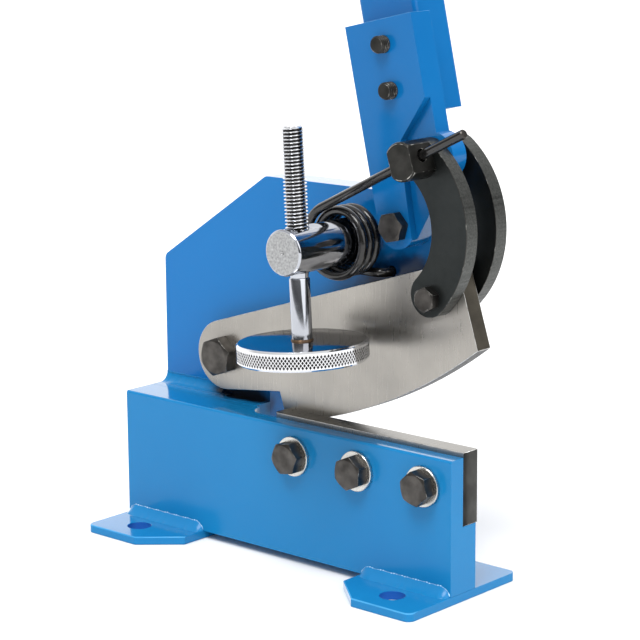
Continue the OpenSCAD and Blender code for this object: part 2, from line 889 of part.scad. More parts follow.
// Bolts through the tube's front wall and the lever, with their heads inside the tube
module handle_bolts() {
    seat = lever_rear + tube_wall + washer_t;
    color([0.2, 0.2, 0.2])
    place()
    for (i = [0 : 1])
        translate([0, seat, 0])
            mirror([0, 1, 0])
                front_bolt(handle_bolt(i), 0, handle_bolt_d * nut_flats_share,
                    handle_bolt_d * nut_height_share, handle_bolt_d,
                    seat - lever_front + handle_bolt_out, nut_turn);
}

module handle_bolt_washers() {
    color([0.3, 0.3, 0.3])
    place()
    for (i = [0 : 1])
        plain_washer(handle_bolt(i), lever_rear + tube_wall, handle_bolt_d,
            handle_bolt_d * washer_share, washer_t);
}

// Outline of the curved links
module link_outline() {
    middle_angle = (link_upper_angle + link_lower_angle) / 2;
    difference() {
        intersection() {
            translate(link_centre)
                circle(r = link_outer, $fn = 2 * round_sides);
            polygon([link_centre,
                link_centre + link_outer * 2 * [cos(link_lower_angle), sin(link_lower_angle)],
                link_centre + link_outer * 2 * [cos(middle_angle), sin(middle_angle)],
                link_centre + link_outer * 2 * [cos(link_upper_angle), sin(link_upper_angle)]]);
        }
        translate(link_centre)
            circle(r = link_inner, $fn = 2 * round_sides);
    }
    for (angle = [link_upper_angle, link_lower_angle])
        translate(link_centre + link_middle * [cos(angle), sin(angle)])
            circle(r = link_half, $fn = round_sides);
}

module link(front, rear) {
    difference() {
        plate(front, rear)
            link_outline();
        bar(ear_pivot, pin_d / 2 + fit_gap, front - overrun, rear + overrun);
        bar(link_pivot, link_bolt_d / 2 + fit_gap, front - overrun, rear + overrun);
    }
}

module front_link() {
    color([0.2, 0.21, 0.21])
    place()
    link(front_link_front, front_link_rear);
}

module rear_link() {
    color([0.2, 0.21, 0.21])
    place()
    link(rear_link_front, rear_link_rear);
}

module link_bolt() {
    color([0.2, 0.2, 0.2])
    place()
    front_bolt(link_pivot, front_link_front, link_bolt_flats, link_bolt_head, link_bolt_d,
        bolt_rear(rear_link_rear, link_bolt_d), link_bolt_turn);
}

module link_washer() {
    color([0.3, 0.3, 0.3])
    place()
    plain_washer(link_pivot, rear_link_rear, link_bolt_d, link_bolt_d * washer_share,
        washer_t);
}

module link_nut() {
    color([0.2, 0.2, 0.2])
    place()
    rear_nut(link_pivot, rear_link_rear + washer_t, link_bolt_d);
}

// Pin of the upper link pivot, its head is cross drilled for the spring's arm
module link_pin() {
    shank_rear = rear_link_rear + 2 * side_gap + 2 * washer_t + bolt_beyond;
    color([0.2, 0.2, 0.19])
    place()
    difference() {
        union() {
            intersection() {
                union() {
                    bar(ear_pivot, pin_head_d / 2, pin_front + pin_chamfer,
                        front_link_front - side_gap);
                    translate([ear_pivot.x, pin_front + pin_chamfer, ear_pivot.y])
                        rotate([90, 0, 0])
                            cylinder(h = pin_chamfer, r1 = pin_head_d / 2,
                                r2 = pin_head_d / 2 - pin_chamfer, $fn = round_sides);
                }
                plate(pin_front - overrun, front_link_front)
                    translate(ear_pivot)
                        rotate(pin_flat_turn)
                            translate([-pin_flats / 2, -pin_head_d])
                                square([pin_flats, 2 * pin_head_d]);
            }
            bolt_shank(ear_pivot, pin_d, front_link_front - side_gap, shank_rear);
        }
        translate([ear_pivot.x, arm_y, ear_pivot.y])
            rotate([0, 90 - arm_angle, 0])
                translate([0, 0, -pin_head_d])
                    cylinder(h = 2 * pin_head_d, r = pin_hole_d / 2, $fn = round_sides);
    }
}

module pin_washer() {
    color([0.3, 0.3, 0.3])
    place()
    plain_washer(ear_pivot, rear_link_rear + side_gap, pin_d, pin_washer_d, washer_t);
}

module pin_retaining_ring() {
    color([0.2, 0.2, 0.2])
    place()
    plain_washer(ear_pivot, rear_link_rear + side_gap + washer_t, pin_d, pin_ring_d,
        washer_t);
}

// Hold-down screw: a thread's outer cylinder over a plain rod
module hold_down_screw() {
    bite = screw_d * end_chamfer_share;
    disc_bottom = disc_top - disc_thickness;
    color([0.8, 0.8, 0.81])
    place()
    lean()
    translate([post_axis.x, -screw_ahead, 0]) {
        translate([0, 0, disc_bottom + disc_thickness / 2])
            cylinder(h = thread_end - disc_bottom - disc_thickness / 2, r = rod_d / 2,
                $fn = round_sides);
        translate([0, 0, thread_end])
            cylinder(h = screw_top - bite - thread_end, r = screw_d / 2,
                $fn = round_sides);
        translate([0, 0, screw_top - bite])
            cylinder(h = bite, r1 = screw_d / 2, r2 = screw_d / 2 - bite,
                $fn = round_sides);
    }
}

// Pressing disc with a knurled rim, bored half through for the rod
module hold_down_disc() {
    disc_bottom = disc_top - disc_thickness;
    color([0.82, 0.82, 0.83])
    place()
    lean()
    difference() {
        translate([post_axis.x, -screw_ahead, disc_bottom])
            rotate_extrude($fn = 2 * round_sides)
                polygon([[0, 0], [disc_d / 2 - disc_chamfer, 0],
                    [disc_d / 2, disc_chamfer],
                    [disc_d / 2, disc_thickness - disc_chamfer],
                    [disc_d / 2 - disc_chamfer, disc_thickness], [0, disc_thickness]]);
        translate([post_axis.x, -screw_ahead, disc_bottom + disc_thickness / 2])
            cylinder(h = disc_thickness, r = rod_d / 2 + fit_gap, $fn = round_sides);
    }
}

// Ring of brazing metal where the rod meets the disc
module braze_ring() {
    inner = rod_d / 2 + fit_gap;
    color([0.75, 0.6, 0.35])
    place()
    lean()
    translate([post_axis.x, -screw_ahead, disc_top])
        rotate_extrude($fn = round_sides)
            polygon([[inner, 0], [inner + braze_width, 0], [inner, braze_height]]);
}

// Path of the spring wire: each entry is a point and the direction away from the coil
turn_steps = 8;
start_angle = arm_angle + 90;
total_turn = 270 - start_angle + 360 * coil_turns;
coil_steps = ceil(total_turn / 360 * turn_steps);
leg_x = post_place + leg_run + leg_bend;
leg_z = post_height - coil_radius;
coil_end_y = arm_back + coil_pitch * total_turn / 360;

function ease(share) = (1 - cos(180 * min(1, share))) / 2;
function coil_point(turn) =
    let (
        radius = arm_offset + (coil_radius - arm_offset) * ease(turn / 270),
        angle = start_angle + turn,
        out = [cos(angle), 0, sin(angle)]
    )
    [[post_axis.x, arm_back + coil_pitch * turn / 360, post_axis.y] + radius * out, out];
function arm_point(run, y) =
    let (out = [-arm_dir.y, 0, arm_dir.x])
    [[post_axis.x + arm_dir.x * run, y, post_axis.y + arm_dir.y * run]
        + arm_offset * out, out];

arm_runs = [for (i = [0 : 6]) (arm_length + arm_beyond) * (1 - i / 6)];
arm_path = [for (run = [for (i = [0 : 5]) arm_runs[i]])
    arm_point(run, run > arm_length ? arm_y
        : arm_y + (arm_back - arm_y) * ease(1 - run / arm_length))];
coil_path = [for (i = [0 : coil_steps]) coil_point(total_turn * i / coil_steps)];
bend_path = [for (i = [0 : 4])
    [[post_place + leg_run + leg_bend * sin(90 * i / 4),
        coil_end_y + leg_bend * (1 - cos(90 * i / 4)), leg_z], [0, 0, -1]]];
end_path = [[[leg_x, upright_front + leg_depth, leg_z], [0, 0, -1]]];
spring_path = concat(arm_path, coil_path, bend_path, end_path);

// Least distance between the wire's surface and itself, a turn or more apart
function spring_gap(path) =
    min([for (i = [0 : len(path) - 1]) for (j = [i + turn_steps - 2 : 1 : len(path) - 1])
        norm(path[i][0] - path[j][0]) - wire_d]);
echo("least gap of the spring wire to itself", spring_gap(
    [for (i = [0 : 0.25 : coil_steps]) coil_point(total_turn * i / coil_steps)]));

wire_sides = 6;
function ring(path, i) =
    let (
        n = len(path),
        along = unit(path[min(i + 1, n - 1)][0] - path[max(i - 1, 0)][0]),
        out = unit(path[i][1] - (path[i][1] * along) * along),
        side = cross(along, out)
    )
    [for (k = [0 : wire_sides - 1])
        path[i][0] + wire_d / 2 * (cos(360 * k / wire_sides) * out
            + sin(360 * k / wire_sides) * side)];

module return_spring() {
    count = len(spring_path);
    points = [for (i = [0 : count - 1]) each ring(spring_path, i)];
    walls = [for (i = [0 : count - 2]) for (k = [0 : wire_sides - 1])
        let (a = i * wire_sides + k, b = i * wire_sides + (k + 1) % wire_sides)
        each [[a, b + wire_sides, b], [a, a + wire_sides, b + wire_sides]]];
    ends = [for (k = [1 : wire_sides - 2])
        each [[0, k, k + 1],
            [(count - 1) * wire_sides, (count - 1) * wire_sides + k + 1,
                (count - 1) * wire_sides + k]]];
    color([0.12, 0.12, 0.12])
    place()
    polyhedron(points, concat(walls, ends));
}

frame_beam();
spacer_plate();
upright_plate();
left_foot();
right_foot();
foot_welds();
corner_weld();
fixed_blade();
fixed_blade_bolts();
fixed_blade_washers();
blade_pivot_bolt();
blade_pivot_washer();
blade_pivot_nut();
lever_pivot_bolt();
lever_pivot_washer();
lever_pivot_nut();
hold_down_post();
post_washer();
post_nut();
moving_blade();
lever_plate();
handle_tube();
handle_end_plug();
handle_bolts();
handle_bolt_washers();
front_link();
rear_link();
link_bolt();
link_washer();
link_nut();
link_pin();
pin_washer();
pin_retaining_ring();
hold_down_screw();
hold_down_disc();
braze_ring();
return_spring();
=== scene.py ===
"""Looks of the bench lever shear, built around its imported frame.

Sizes are in millimetres of the works frame: X from the beam's left end, Y from the beam's
front face to the rear, Z from the feet's top. Meshes are in metres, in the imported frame's axes.
"""

import logging
import math
import random
from collections.abc import Callable, Iterable, Sequence
from dataclasses import dataclass, field
from enum import Enum

import bmesh
import bpy
from mathutils import Matrix, Vector


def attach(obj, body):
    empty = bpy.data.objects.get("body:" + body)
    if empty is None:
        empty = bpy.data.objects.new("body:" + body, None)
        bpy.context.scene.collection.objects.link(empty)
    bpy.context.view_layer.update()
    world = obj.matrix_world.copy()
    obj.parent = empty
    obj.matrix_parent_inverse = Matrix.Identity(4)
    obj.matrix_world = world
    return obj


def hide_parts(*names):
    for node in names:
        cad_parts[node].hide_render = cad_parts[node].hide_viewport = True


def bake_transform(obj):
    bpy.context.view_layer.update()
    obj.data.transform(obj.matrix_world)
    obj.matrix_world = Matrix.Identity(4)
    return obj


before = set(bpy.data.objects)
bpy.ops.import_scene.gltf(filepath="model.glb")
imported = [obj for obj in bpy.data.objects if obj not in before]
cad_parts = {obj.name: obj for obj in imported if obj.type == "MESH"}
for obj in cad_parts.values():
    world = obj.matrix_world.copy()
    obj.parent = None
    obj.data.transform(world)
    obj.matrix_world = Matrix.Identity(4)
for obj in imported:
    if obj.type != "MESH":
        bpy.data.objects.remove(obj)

LOG = logging.getLogger("bench_lever_shear")
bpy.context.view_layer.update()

MM = 0.001
WORKS_ORIGIN = Vector((-131.5, 18.0, 5.0))
FULL_TURN = 2 * math.pi
TO_FRONT = Vector((0, -1, 0))
TO_REAR = Vector((0, 1, 0))
UPWARDS = Vector((0, 0, 1))
SHARP_ANGLE = math.radians(32)
FLAT_ANGLE = math.radians(0.4)
LARGE_FACES_LEAD = 100
# Edge weight of the narrow rounding that carries a painted highlight.
HIGHLIGHT_EDGES = "thin_paint"

# Distances in millimetres at which vertices count as one and an edge lies on a face.
SAME_PLACE = 0.002
TOUCH = 0.1
# Share of a face's normal along an axis from which the face looks that way.
FACING = 0.7

Point = tuple[float, float, float]
Place = tuple[float, float]
Colour = tuple[float, float, float, float]
Socket = bpy.types.NodeSocket
Row = list[bmesh.types.BMVert]
# Scale and detail of a noise, depth of its relief in millimetres and share that is used.
Relief = tuple[float, float, float, float]
Reach = Callable[[float], float] | float
EdgeTest = Callable[[Vector, Vector], bool]

POST_PLACE: Place = (170.0, 193.0)
BLADE_PIVOT: Place = (63.0, 108.0)
LEVER_PIVOT: Place = (207.0, 205.0)
PIN_PLACE: Place = (230.023, 246.512)
UPRIGHT_REAR = 56.4


class Body(Enum):
    """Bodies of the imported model."""

    FRAME = "frame"
    BLADE = "moving_blade"
    LEVER = "lever"
    LINKS = "links"
    PIN = "link_pin"
    HOLD_DOWN = "hold_down"
    SPRING = "return_spring"


class Slot(Enum):
    """Material slots of the record."""

    PAINT = "blue_paint"
    GROUND = "ground_steel"
    BLACK = "black_steel"
    SPRING = "spring_steel"
    ZINC = "bright_zinc"
    CHROME = "chrome_plate"
    BRASS = "braze_brass"
    PLASTIC = "black_plastic"


def linear(red: float, green: float, blue: float) -> Colour:
    """Turns a colour of 0 to 255 as seen on a screen into a linear one with alpha."""
    shares = (value / 255 for value in (red, green, blue))
    return *(s / 12.92 if s <= 0.04045 else ((s + 0.055) / 1.055) ** 2.4 for s in shares), 1.0


class Tree:
    """Node tree of a material or the sky."""

    def __init__(self, owner: bpy.types.Material | bpy.types.World) -> None:
        """Empties the owner's node tree.

        Args:
            owner: The material or the sky.
        """
        owner.use_nodes = True
        self.tree = owner.node_tree
        self.tree.nodes.clear()

    def add(
        self, kind: str, operation: str | None = None, **inputs: float | Sequence[float]
    ) -> bpy.types.Node:
        """Adds a shader node.

        Args:
            kind: Its kind.
            operation: Its operation, for a node that has one.
            inputs: Constants of its inputs; an underscore stands for a space.

        Returns:
            The node.
        """
        node = self.tree.nodes.new("ShaderNode" + kind)
        if operation is not None:
            node.operation = operation
        for name, value in inputs.items():
            node.inputs[name.replace("_", " ")].default_value = value
        return node

    def link(self, source: Socket, target: Socket) -> None:
        """Joins two sockets."""
        self.tree.links.new(source, target)

    def ramp(self, value: Socket, stops: Sequence[tuple[float, Colour]]) -> Socket:
        """Turns a value into a colour.

        Args:
            value: What steers the colour.
            stops: Pairs of a position and a colour.

        Returns:
            The colour.
        """
        node = self.add("ValToRGB")
        elements = node.color_ramp.elements
        while len(elements) < len(stops):
            elements.new(0.5)
        for element, (position, colour) in zip(elements, stops):
            element.position = position
            element.color = colour
        self.link(value, node.inputs["Fac"])
        return node.outputs["Color"]

    def spread(
        self, value: Socket, low: float, high: float, start: float = 0.3, end: float = 0.7,
        kind: str = "LINEAR",
    ) -> Socket:
        """Maps a value to another stretch.

        Args:
            value: The value.
            low: What it becomes at the start.
            high: What it becomes at the end.
            start: Where its change starts.
            end: Where its change ends.
            kind: The change's kind.

        Returns:
            The mapped value.
        """
        node = self.add("MapRange", From_Min=start, From_Max=end, To_Min=low, To_Max=high)
        node.interpolation_type = kind
        self.link(value, node.inputs["Value"])
        return node.outputs["Result"]


class Recipe(Tree):
    """Node tree of one procedural material."""

    def __init__(self, name: str, **inputs: float) -> None:
        """Starts a material with a shader, an output and object coordinates.

        Args:
            name: The material's name.
            inputs: Constants of the shader.
        """
        self.material = bpy.data.materials.new(name)
        super().__init__(self.material)
        self.shader = self.add("BsdfPrincipled", **inputs)
        self.link(self.shader.outputs["BSDF"], self.add("OutputMaterial").inputs["Surface"])
        self.coords = self.add("TexCoord").outputs["Object"]

    def feed(self, name: str, socket: Socket) -> None:
        """Feeds an input of the shader."""
        self.link(socket, self.shader.inputs[name])

    def noise(self, scale: float, detail: float = 3.0, stretch: Point = (1, 1, 1)) -> Socket:
        """Adds a noise over the object.

        Args:
            scale: Features per metre.
            detail: Octaves of the noise.
            stretch: Factor of the coordinates along each axis.

        Returns:
            The noise's value.
        """
        mapping = self.add("Mapping", Scale=stretch)
        self.link(self.coords, mapping.inputs["Vector"])
        noise = self.add("TexNoise", Scale=scale, Detail=detail)
        self.link(mapping.outputs["Vector"], noise.inputs["Vector"])
        return noise.outputs["Fac"]

    def mottle(
        self, noise: Socket, dark: Colour, light: Colour, start: float = 0.3, end: float = 0.7
    ) -> Socket:
        """Gives a colour that wanders from dark to light with a noise."""
        return self.ramp(noise, [(start, dark), (end, light)])

    def lay_painted_shade(self, base: Socket, shade_patch: "ShadePatch") -> Socket:
        """Lays a patch of painted shade with a ragged rim over a colour.

        Args:
            base: The colour underneath.
            shade_patch: The patch of painted shade.

        Returns:
            The colour with the painted shade laid over it.
        """
        mapping = self.add("Mapping", Scale=[1 / (r * MM) for r in shade_patch.reach],
                           Location=[-p / r for p, r in zip(shade_patch.place, shade_patch.reach)])
        self.link(self.coords, mapping.inputs["Vector"])
        length = self.add("VectorMath", "LENGTH")
        self.link(mapping.outputs["Vector"], length.inputs[0])
        ragged = self.add("Math", "MULTIPLY_ADD")
        ragged.inputs[1].default_value = shade_patch.raggedness
        self.link(self.noise(shade_patch.rim_scale, 5), ragged.inputs[0])
        self.link(length.outputs["Value"], ragged.inputs[2])
        mix = self.add("MixRGB", Color2=linear(*shade_patch.tint))
        self.link(self.spread(ragged.outputs["Value"], 1.0, 0.0, *shade_patch.fade, "SMOOTHSTEP"),
                  mix.inputs["Fac"])
        self.link(base, mix.inputs["Color1"])
        return mix.outputs["Color"]

    def flat_view(self, low: float, high: float, start: float, end: float) -> Socket:
        """Gives a value that changes from low to high as the view gets flatter."""
        weight = self.add("LayerWeight", Blend=0.5)
        return self.spread(weight.outputs["Facing"], low, high, start, end)

    def bump(self, height: Socket, depth: float, strength: float) -> None:
        """Adds relief on top of what the shader's normal already has.

        Args:
            height: The relief's height.
            depth: The relief's depth in millimetres.
            strength: Share of the relief that is used.
        """
        node = self.add("Bump", Strength=strength, Distance=depth * MM)
        self.link(height, node.inputs["Height"])
        normal = self.shader.inputs["Normal"]
        if normal.is_linked:
            self.link(normal.links[0].from_socket, node.inputs["Normal"])
        self.link(node.outputs["Normal"], normal)

    def relief(self, scale: float, detail: float, depth: float, strength: float) -> None:
        """Adds the relief of a noise."""
        self.bump(self.noise(scale, detail), depth, strength)


@dataclass(frozen=True)
class ShadePatch:
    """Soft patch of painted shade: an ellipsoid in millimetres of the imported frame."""

    place: Point
    reach: Point
    tint: Point
    raggedness: float = 0.5
    rim_scale: float = 70
    fade: Place = (0.85, 1.22)


@dataclass(frozen=True)
class Paint:
    """Glossy workshop paint with a faint orange peel."""

    name: str
    tint: Point
    shade: Point
    gloss: float = 0.17
    # Patches of painted shade laid over the colour.
    shade_patches: tuple[ShadePatch, ...] = ()
    patch_scale: float = 9
    patch_change: Place = (0.32, 0.68)
    gloss_scale: float = 60
    smoother: float = 0.03
    duller: float = 0.05
    glancing: Place = (0.45, 0.8)
    peel: tuple[Relief, ...] = ((380, 2, 0.02, 0.4), (28, 1, 0.12, 0.2))

    def build(self) -> bpy.types.Material:
        """Makes the material."""
        recipe = Recipe(self.name, Specular_IOR_Level=0.22, Coat_Roughness=0.07, Coat_IOR=1.6)
        colour = recipe.mottle(recipe.noise(self.patch_scale, 4), linear(*self.shade),
                               linear(*self.tint), *self.patch_change)
        # Lays each patch of painted shade over the paint's colour.
        for shade_patch in self.shade_patches:
            colour = recipe.lay_painted_shade(colour, shade_patch)
        recipe.feed("Base Color", colour)
        recipe.feed("Roughness", recipe.spread(
            recipe.noise(self.gloss_scale), self.gloss - self.smoother, self.gloss + self.duller))
        recipe.feed("Coat Weight", recipe.flat_view(0.0, 1.0, *self.glancing))
        for relief in self.peel:
            recipe.relief(*relief)
        return recipe.material


@dataclass(frozen=True)
class Metal:
    """Bare or blackened metal with fine working marks."""

    name: str
    light: Point
    dark: Point
    rough: float
    spread: float
    marks_scale: float
    marks_depth: float
    patch_scale: float
    marks: Point = (1, 1, 1)
    metallic: float = 1.0
    coat: float = 0.0
    strength: float = 0.7

    def build(self) -> bpy.types.Material:
        """Makes the material."""
        recipe = Recipe(
            self.name, Metallic=self.metallic, Coat_Weight=self.coat, Coat_Roughness=0.1)
        recipe.feed("Base Color", recipe.mottle(
            recipe.noise(self.patch_scale, 5), linear(*self.dark), linear(*self.light)))
        marks = recipe.noise(self.marks_scale, 4, self.marks)
        recipe.feed("Roughness", recipe.spread(
            marks, self.rough - self.spread, self.rough + self.spread))
        recipe.bump(marks, self.marks_depth, self.strength)
        return recipe.material


@dataclass(frozen=True)
class WornEdge:
    """Edge of a blackened piece where the black is rubbed through in places."""

    name: str
    bare: Point
    black: Point
    start: float
    end: float
    wear_scale: float = 260
    relief: Relief = (500, 2, 0.05, 0.6)

    def build(self) -> bpy.types.Material:
        """Makes the material."""
        recipe = Recipe(self.name, Metallic=1.0, Roughness=0.28)
        recipe.feed("Base Color", recipe.mottle(
            recipe.noise(self.wear_scale, 4), linear(*self.black), linear(*self.bare),
            self.start, self.end))
        recipe.relief(*self.relief)
        return recipe.material


@dataclass(frozen=True)
class Moulded:
    """Fine-grained black plastic."""

    name: str
    light: Point = (36, 36, 37)
    dark: Point = (24, 24, 25)
    rough: Place = (0.38, 0.55)
    patch_scale: float = 30
    rough_scale: float = 180
    grain: Relief = (1400, 2, 0.04, 0.6)

    def build(self) -> bpy.types.Material:
        """Makes the material."""
        recipe = Recipe(self.name)
        recipe.feed("Base Color", recipe.mottle(
            recipe.noise(self.patch_scale), linear(*self.dark), linear(*self.light)))
        recipe.feed("Roughness", recipe.spread(recipe.noise(self.rough_scale), *self.rough))
        recipe.relief(*self.grain)
        return recipe.material


# Painted shade: dark patches under the moving blade's tail, and on the upright right of the spring
# below the lever's end.
SHADE_UNDER_TAIL = ShadePatch((-63, 54.3, 84), (30, 10, 12), (8, 20, 40))
SHADE_BY_SPRING = ShadePatch((69, 54.3, 172), (44, 20, 24), (9, 50, 92))


class Finish(Enum):
    """Finishes of this shear."""

    # The machine paint carries the painted shade under the blade's tail.
    PAINT = Paint("blue_machine_paint", (24, 123, 180), (20, 118, 176), shade_patches=(SHADE_UNDER_TAIL,))
    # Painted shade: the upright gets a darker copy of the machine paint, plus painted shade under
    # the blade's tail and by the spring.
    UPRIGHT_SHADED_PAINT = Paint(
        "blue_paint_shaded_on_upright", (10, 112, 180), (8, 108, 176), shade_patches=(SHADE_UNDER_TAIL, SHADE_BY_SPRING))
    # Painted highlights: lighter paint on rounded edges where light catches them.
    FOOT_EDGE_HIGHLIGHT = Paint("painted_highlight_on_foot_edges", (84, 168, 216), (36, 132, 192), 0.2)
    EDGE_HIGHLIGHT = Paint("painted_highlight_on_edges", (150, 204, 236), (72, 158, 216), 0.2)
    # Painted highlight: glints along the weld beads' upper toe.
    TOE_GLINT = Paint("painted_glint_on_weld_toe", (222, 240, 250), (150, 206, 240), 0.2)
    # Painted shade: darker paint on the base holes' walls.
    HOLE_SHADE = Paint("painted_shade_in_holes", (16, 88, 170), (12, 76, 158), 0.5)
    # Painted shade: the lever and its handle get a darker copy of the machine paint.
    LEVER_SHADED_PAINT = Paint("blue_paint_shaded_on_lever", (12, 104, 168), (9, 99, 163))
    GROUND = Metal("ground_blade_steel", (168, 164, 158), (148, 145, 140), 0.3, 0.04, 60, 0.006,
                   20, (26, 1, 1))
    BLADE_EDGE = Metal(
        "milled_blade_edge", (112, 106, 95), (76, 72, 64), 0.42, 0.08, 60, 0.05, 40, (30, 1, 30))
    SCALE = Metal("hardened_end_scale", (84, 84, 82), (60, 60, 59), 0.45, 0.08, 350, 0.03, 60)
    BLACK = Metal("blackened_steel", (92, 89, 86), (58, 56, 54), 0.38, 0.07, 420, 0.03, 120)
    PIN_BLACK = Metal("dull_pin_steel", (64, 63, 61), (46, 46, 44), 0.42, 0.07, 420, 0.03, 120)
    LINK_BLACK = Metal("blackened_link_face", (58, 61, 61), (49, 52, 52), 0.46, 0.05, 420, 0.02, 40)
    SAWN = Metal("sawn_link_edge", (92, 93, 91), (68, 70, 68), 0.44, 0.12, 900, 0.2,
                 900, (1, 0.05, 1))
    WORN = WornEdge("rubbed_black_edge", (190, 188, 182), (70, 70, 68), 0.5, 0.62)
    LINK_EDGE = WornEdge("thin_link_edge", (140, 140, 136), (62, 62, 60), 0.55, 0.7)
    BRIGHT_EDGE = WornEdge("bright_broken_edge", (214, 214, 212), (150, 148, 145), 0.3, 0.5)
    ZINC = Metal("bright_zinc", (212, 211, 206), (182, 181, 176), 0.26, 0.06, 500, 0.02, 90)
    CHROME = Metal("chrome_plate", (226, 227, 230), (214, 215, 218), 0.09, 0.03, 260, 0.004, 30)
    # Painted shade: a darker copy of the chrome on the post and on the screw's rod.
    CHROME_SHADED = Metal("chrome_darkened_as_painted_shade", (184, 187, 194), (168, 171, 178), 0.1, 0.03, 260, 0.004, 30)
    POLISHED = Metal("polished_disc_face", (172, 171, 172), (158, 157, 158), 0.1, 0.03, 260,
                     0.004, 60)
    # Painted shade: dark steel in the thread's roots, in the knurl's pits and under the moving
    # blade.
    HOLLOW_SHADE = Metal("painted_shade_in_hollows", (74, 73, 72), (30, 29, 28), 0.42, 0.08, 700, 0.03, 300)
    TURNED = Metal("turned_post_face", (186, 187, 188), (140, 141, 142), 0.36, 0.08, 1100, 0.1, 700)
    SPRING = Metal("oiled_spring_steel", (38, 37, 36), (26, 25, 25), 0.26, 0.02, 300, 0.004, 90,
                   metallic=0.7, coat=0.7)
    BRASS = Metal("brazing_brass", (112, 92, 72), (68, 54, 44), 0.5, 0.08, 900, 0.05, 400)
    PLASTIC = Moulded("black_plug_plastic")


class Store:
    """Keeps one material per finish."""

    def __init__(self) -> None:
        """Starts empty."""
        self.made: dict[Finish, bpy.types.Material] = {}

    def get(self, finish: Finish) -> bpy.types.Material:
        """Gives a finish's material, made at its first use.

        Args:
            finish: The finish.

        Returns:
            The material.
        """
        if finish not in self.made:
            self.made[finish] = finish.value.build()
        return self.made[finish]


def add_object(name: str, data: bpy.types.ID) -> bpy.types.Object:
    """Adds an object to the scene.

    Args:
        name: The object's name.
        data: Its mesh, light or camera.

    Returns:
        The object.
    """
    made = bpy.data.objects.new(name, data)
    bpy.context.scene.collection.objects.link(made)
    return made


@dataclass(frozen=True)
class Rounding:
    """Rounding of edges: its width in millimetres, its steps and the slot of its own finish."""

    width: float
    steps: int
    finish_index: int = -1

    def add(self, piece: bpy.types.Object, name: str, limit: str) -> bpy.types.Modifier:
        """Adds the rounding to a piece.

        Args:
            piece: The piece.
            name: The modifier's name.
            limit: What picks the edges: their angle or their weight.

        Returns:
            The modifier.
        """
        bevel = piece.modifiers.new(name, "BEVEL")
        bevel.width = self.width * MM
        bevel.segments = self.steps
        bevel.limit_method = limit
        bevel.angle_limit = SHARP_ANGLE
        bevel.harden_normals = True
        bevel.material = self.finish_index
        return bevel


@dataclass
class Workshop:
    """Turns finished shapes into pieces of the scene."""

    store: Store = field(default_factory=Store)
    # Width of the rounding that carries a painted highlight.
    highlight_width: float = 0.7

    def fit(
        self, name: str, mesh: bpy.types.Mesh, body: Body | None, slot: Slot,
        finishes: Sequence[Finish], node: str, rounding: Rounding | None = None,
        by_weight: bool = False,
    ) -> bpy.types.Object:
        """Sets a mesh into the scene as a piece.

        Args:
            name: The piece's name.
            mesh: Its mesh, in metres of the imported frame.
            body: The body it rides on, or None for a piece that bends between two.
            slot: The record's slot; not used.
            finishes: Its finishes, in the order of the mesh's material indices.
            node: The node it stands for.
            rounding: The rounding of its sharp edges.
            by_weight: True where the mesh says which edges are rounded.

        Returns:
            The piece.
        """
        piece = add_object(name, mesh)
        for finish in finishes:
            mesh.materials.append(self.store.get(finish))
        if rounding is not None:
            rounding.add(piece, "rounding", "WEIGHT" if by_weight else "ANGLE")
            normals = piece.modifiers.new("even_normals", "WEIGHTED_NORMAL")
            normals.weight = LARGE_FACES_LEAD
            normals.keep_sharp = True
        if body is not None:
            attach(piece, body.value)
        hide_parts(node)
        LOG.info("piece %s: %d faces, stands for %s", name, len(mesh.polygons), node)
        return piece

    def dress(
        self, name: str, node: str, body: Body, slot: Slot, finishes: Sequence[Finish],
        rounding: Rounding, choose: Callable[[Vector, Vector], int] | None = None,
        keep_sharp: EdgeTest | None = None, highlit: EdgeTest | None = None,
    ) -> bpy.types.Object:
        """Makes a rounded piece with the outline of a node.

        Args:
            name: The piece's name.
            node: The node whose outline it takes and that it stands for.
            body: The body it rides on.
            slot: The record's slot.
            finishes: Its finishes.
            rounding: The rounding of its sharp edges.
            choose: Gives a face's finish index from its normal and its middle in the works frame.
            keep_sharp: Says from an edge's ends in the works frame whether it stays unrounded.
            highlit: Says from an edge's ends whether it gets a painted highlight, as the last
                finish.

        Returns:
            The piece.
        """
        form = bmesh.new()
        form.from_mesh(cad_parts[node].data)
        bmesh.ops.remove_doubles(form, verts=form.verts, dist=SAME_PLACE * MM)
        bmesh.ops.dissolve_limit(form, angle_limit=FLAT_ANGLE, verts=form.verts,
                                 edges=form.edges, use_dissolve_boundaries=False)
        weight = form.edges.layers.float.new("bevel_weight_edge")
        # Weight of the edges that get the narrow rounding with the painted highlight.
        highlight_weights = form.edges.layers.float.new(HIGHLIGHT_EDGES)

        def works(point: Vector) -> Vector:
            """Gives a mesh point's place in the works frame."""
            return point / MM - WORKS_ORIGIN

        for edge in form.edges:
            ends = [works(corner.co) for corner in edge.verts]
            sharp = len(edge.link_faces) == 2 and edge.calc_face_angle(0) > SHARP_ANGLE
            spared = keep_sharp is not None and keep_sharp(*ends)
            # Edges picked for a painted highlight get the narrow rounding with the highlight
            # finish, not the plain one.
            bare = sharp and highlit is not None and highlit(*ends)
            edge[weight] = float(sharp and not spared and not bare)
            edge[highlight_weights] = float(bare)
            edge.smooth = not (sharp and spared)
        for face in form.faces:
            face.smooth = True
            if choose is not None:
                face.material_index = choose(face.normal, works(face.calc_center_median()))
        mesh = bpy.data.meshes.new(name)
        form.to_mesh(mesh)
        form.free()
        piece = self.fit(name, mesh, body, slot, finishes, node, rounding, by_weight=True)
        # The narrow rounding gives the picked edges their painted highlight, the last finish.
        if highlit is not None:
            bevel = Rounding(self.highlight_width, 2, len(finishes) - 1).add(piece, HIGHLIGHT_EDGES, "WEIGHT")
            bevel.edge_weight = HIGHLIGHT_EDGES
            piece.modifiers.move(len(piece.modifiers) - 1, 0)
        return piece


def spaced(first: float, last: float, count: int) -> list[float]:
    """Divides a stretch into equal steps and gives their ends."""
    return [first + (last - first) * i / count for i in range(count + 1)]


def at(value: Reach, angle: float) -> float:
    """Gives a number as it is, or a function's value at an angle."""
    return value(angle) if callable(value) else value


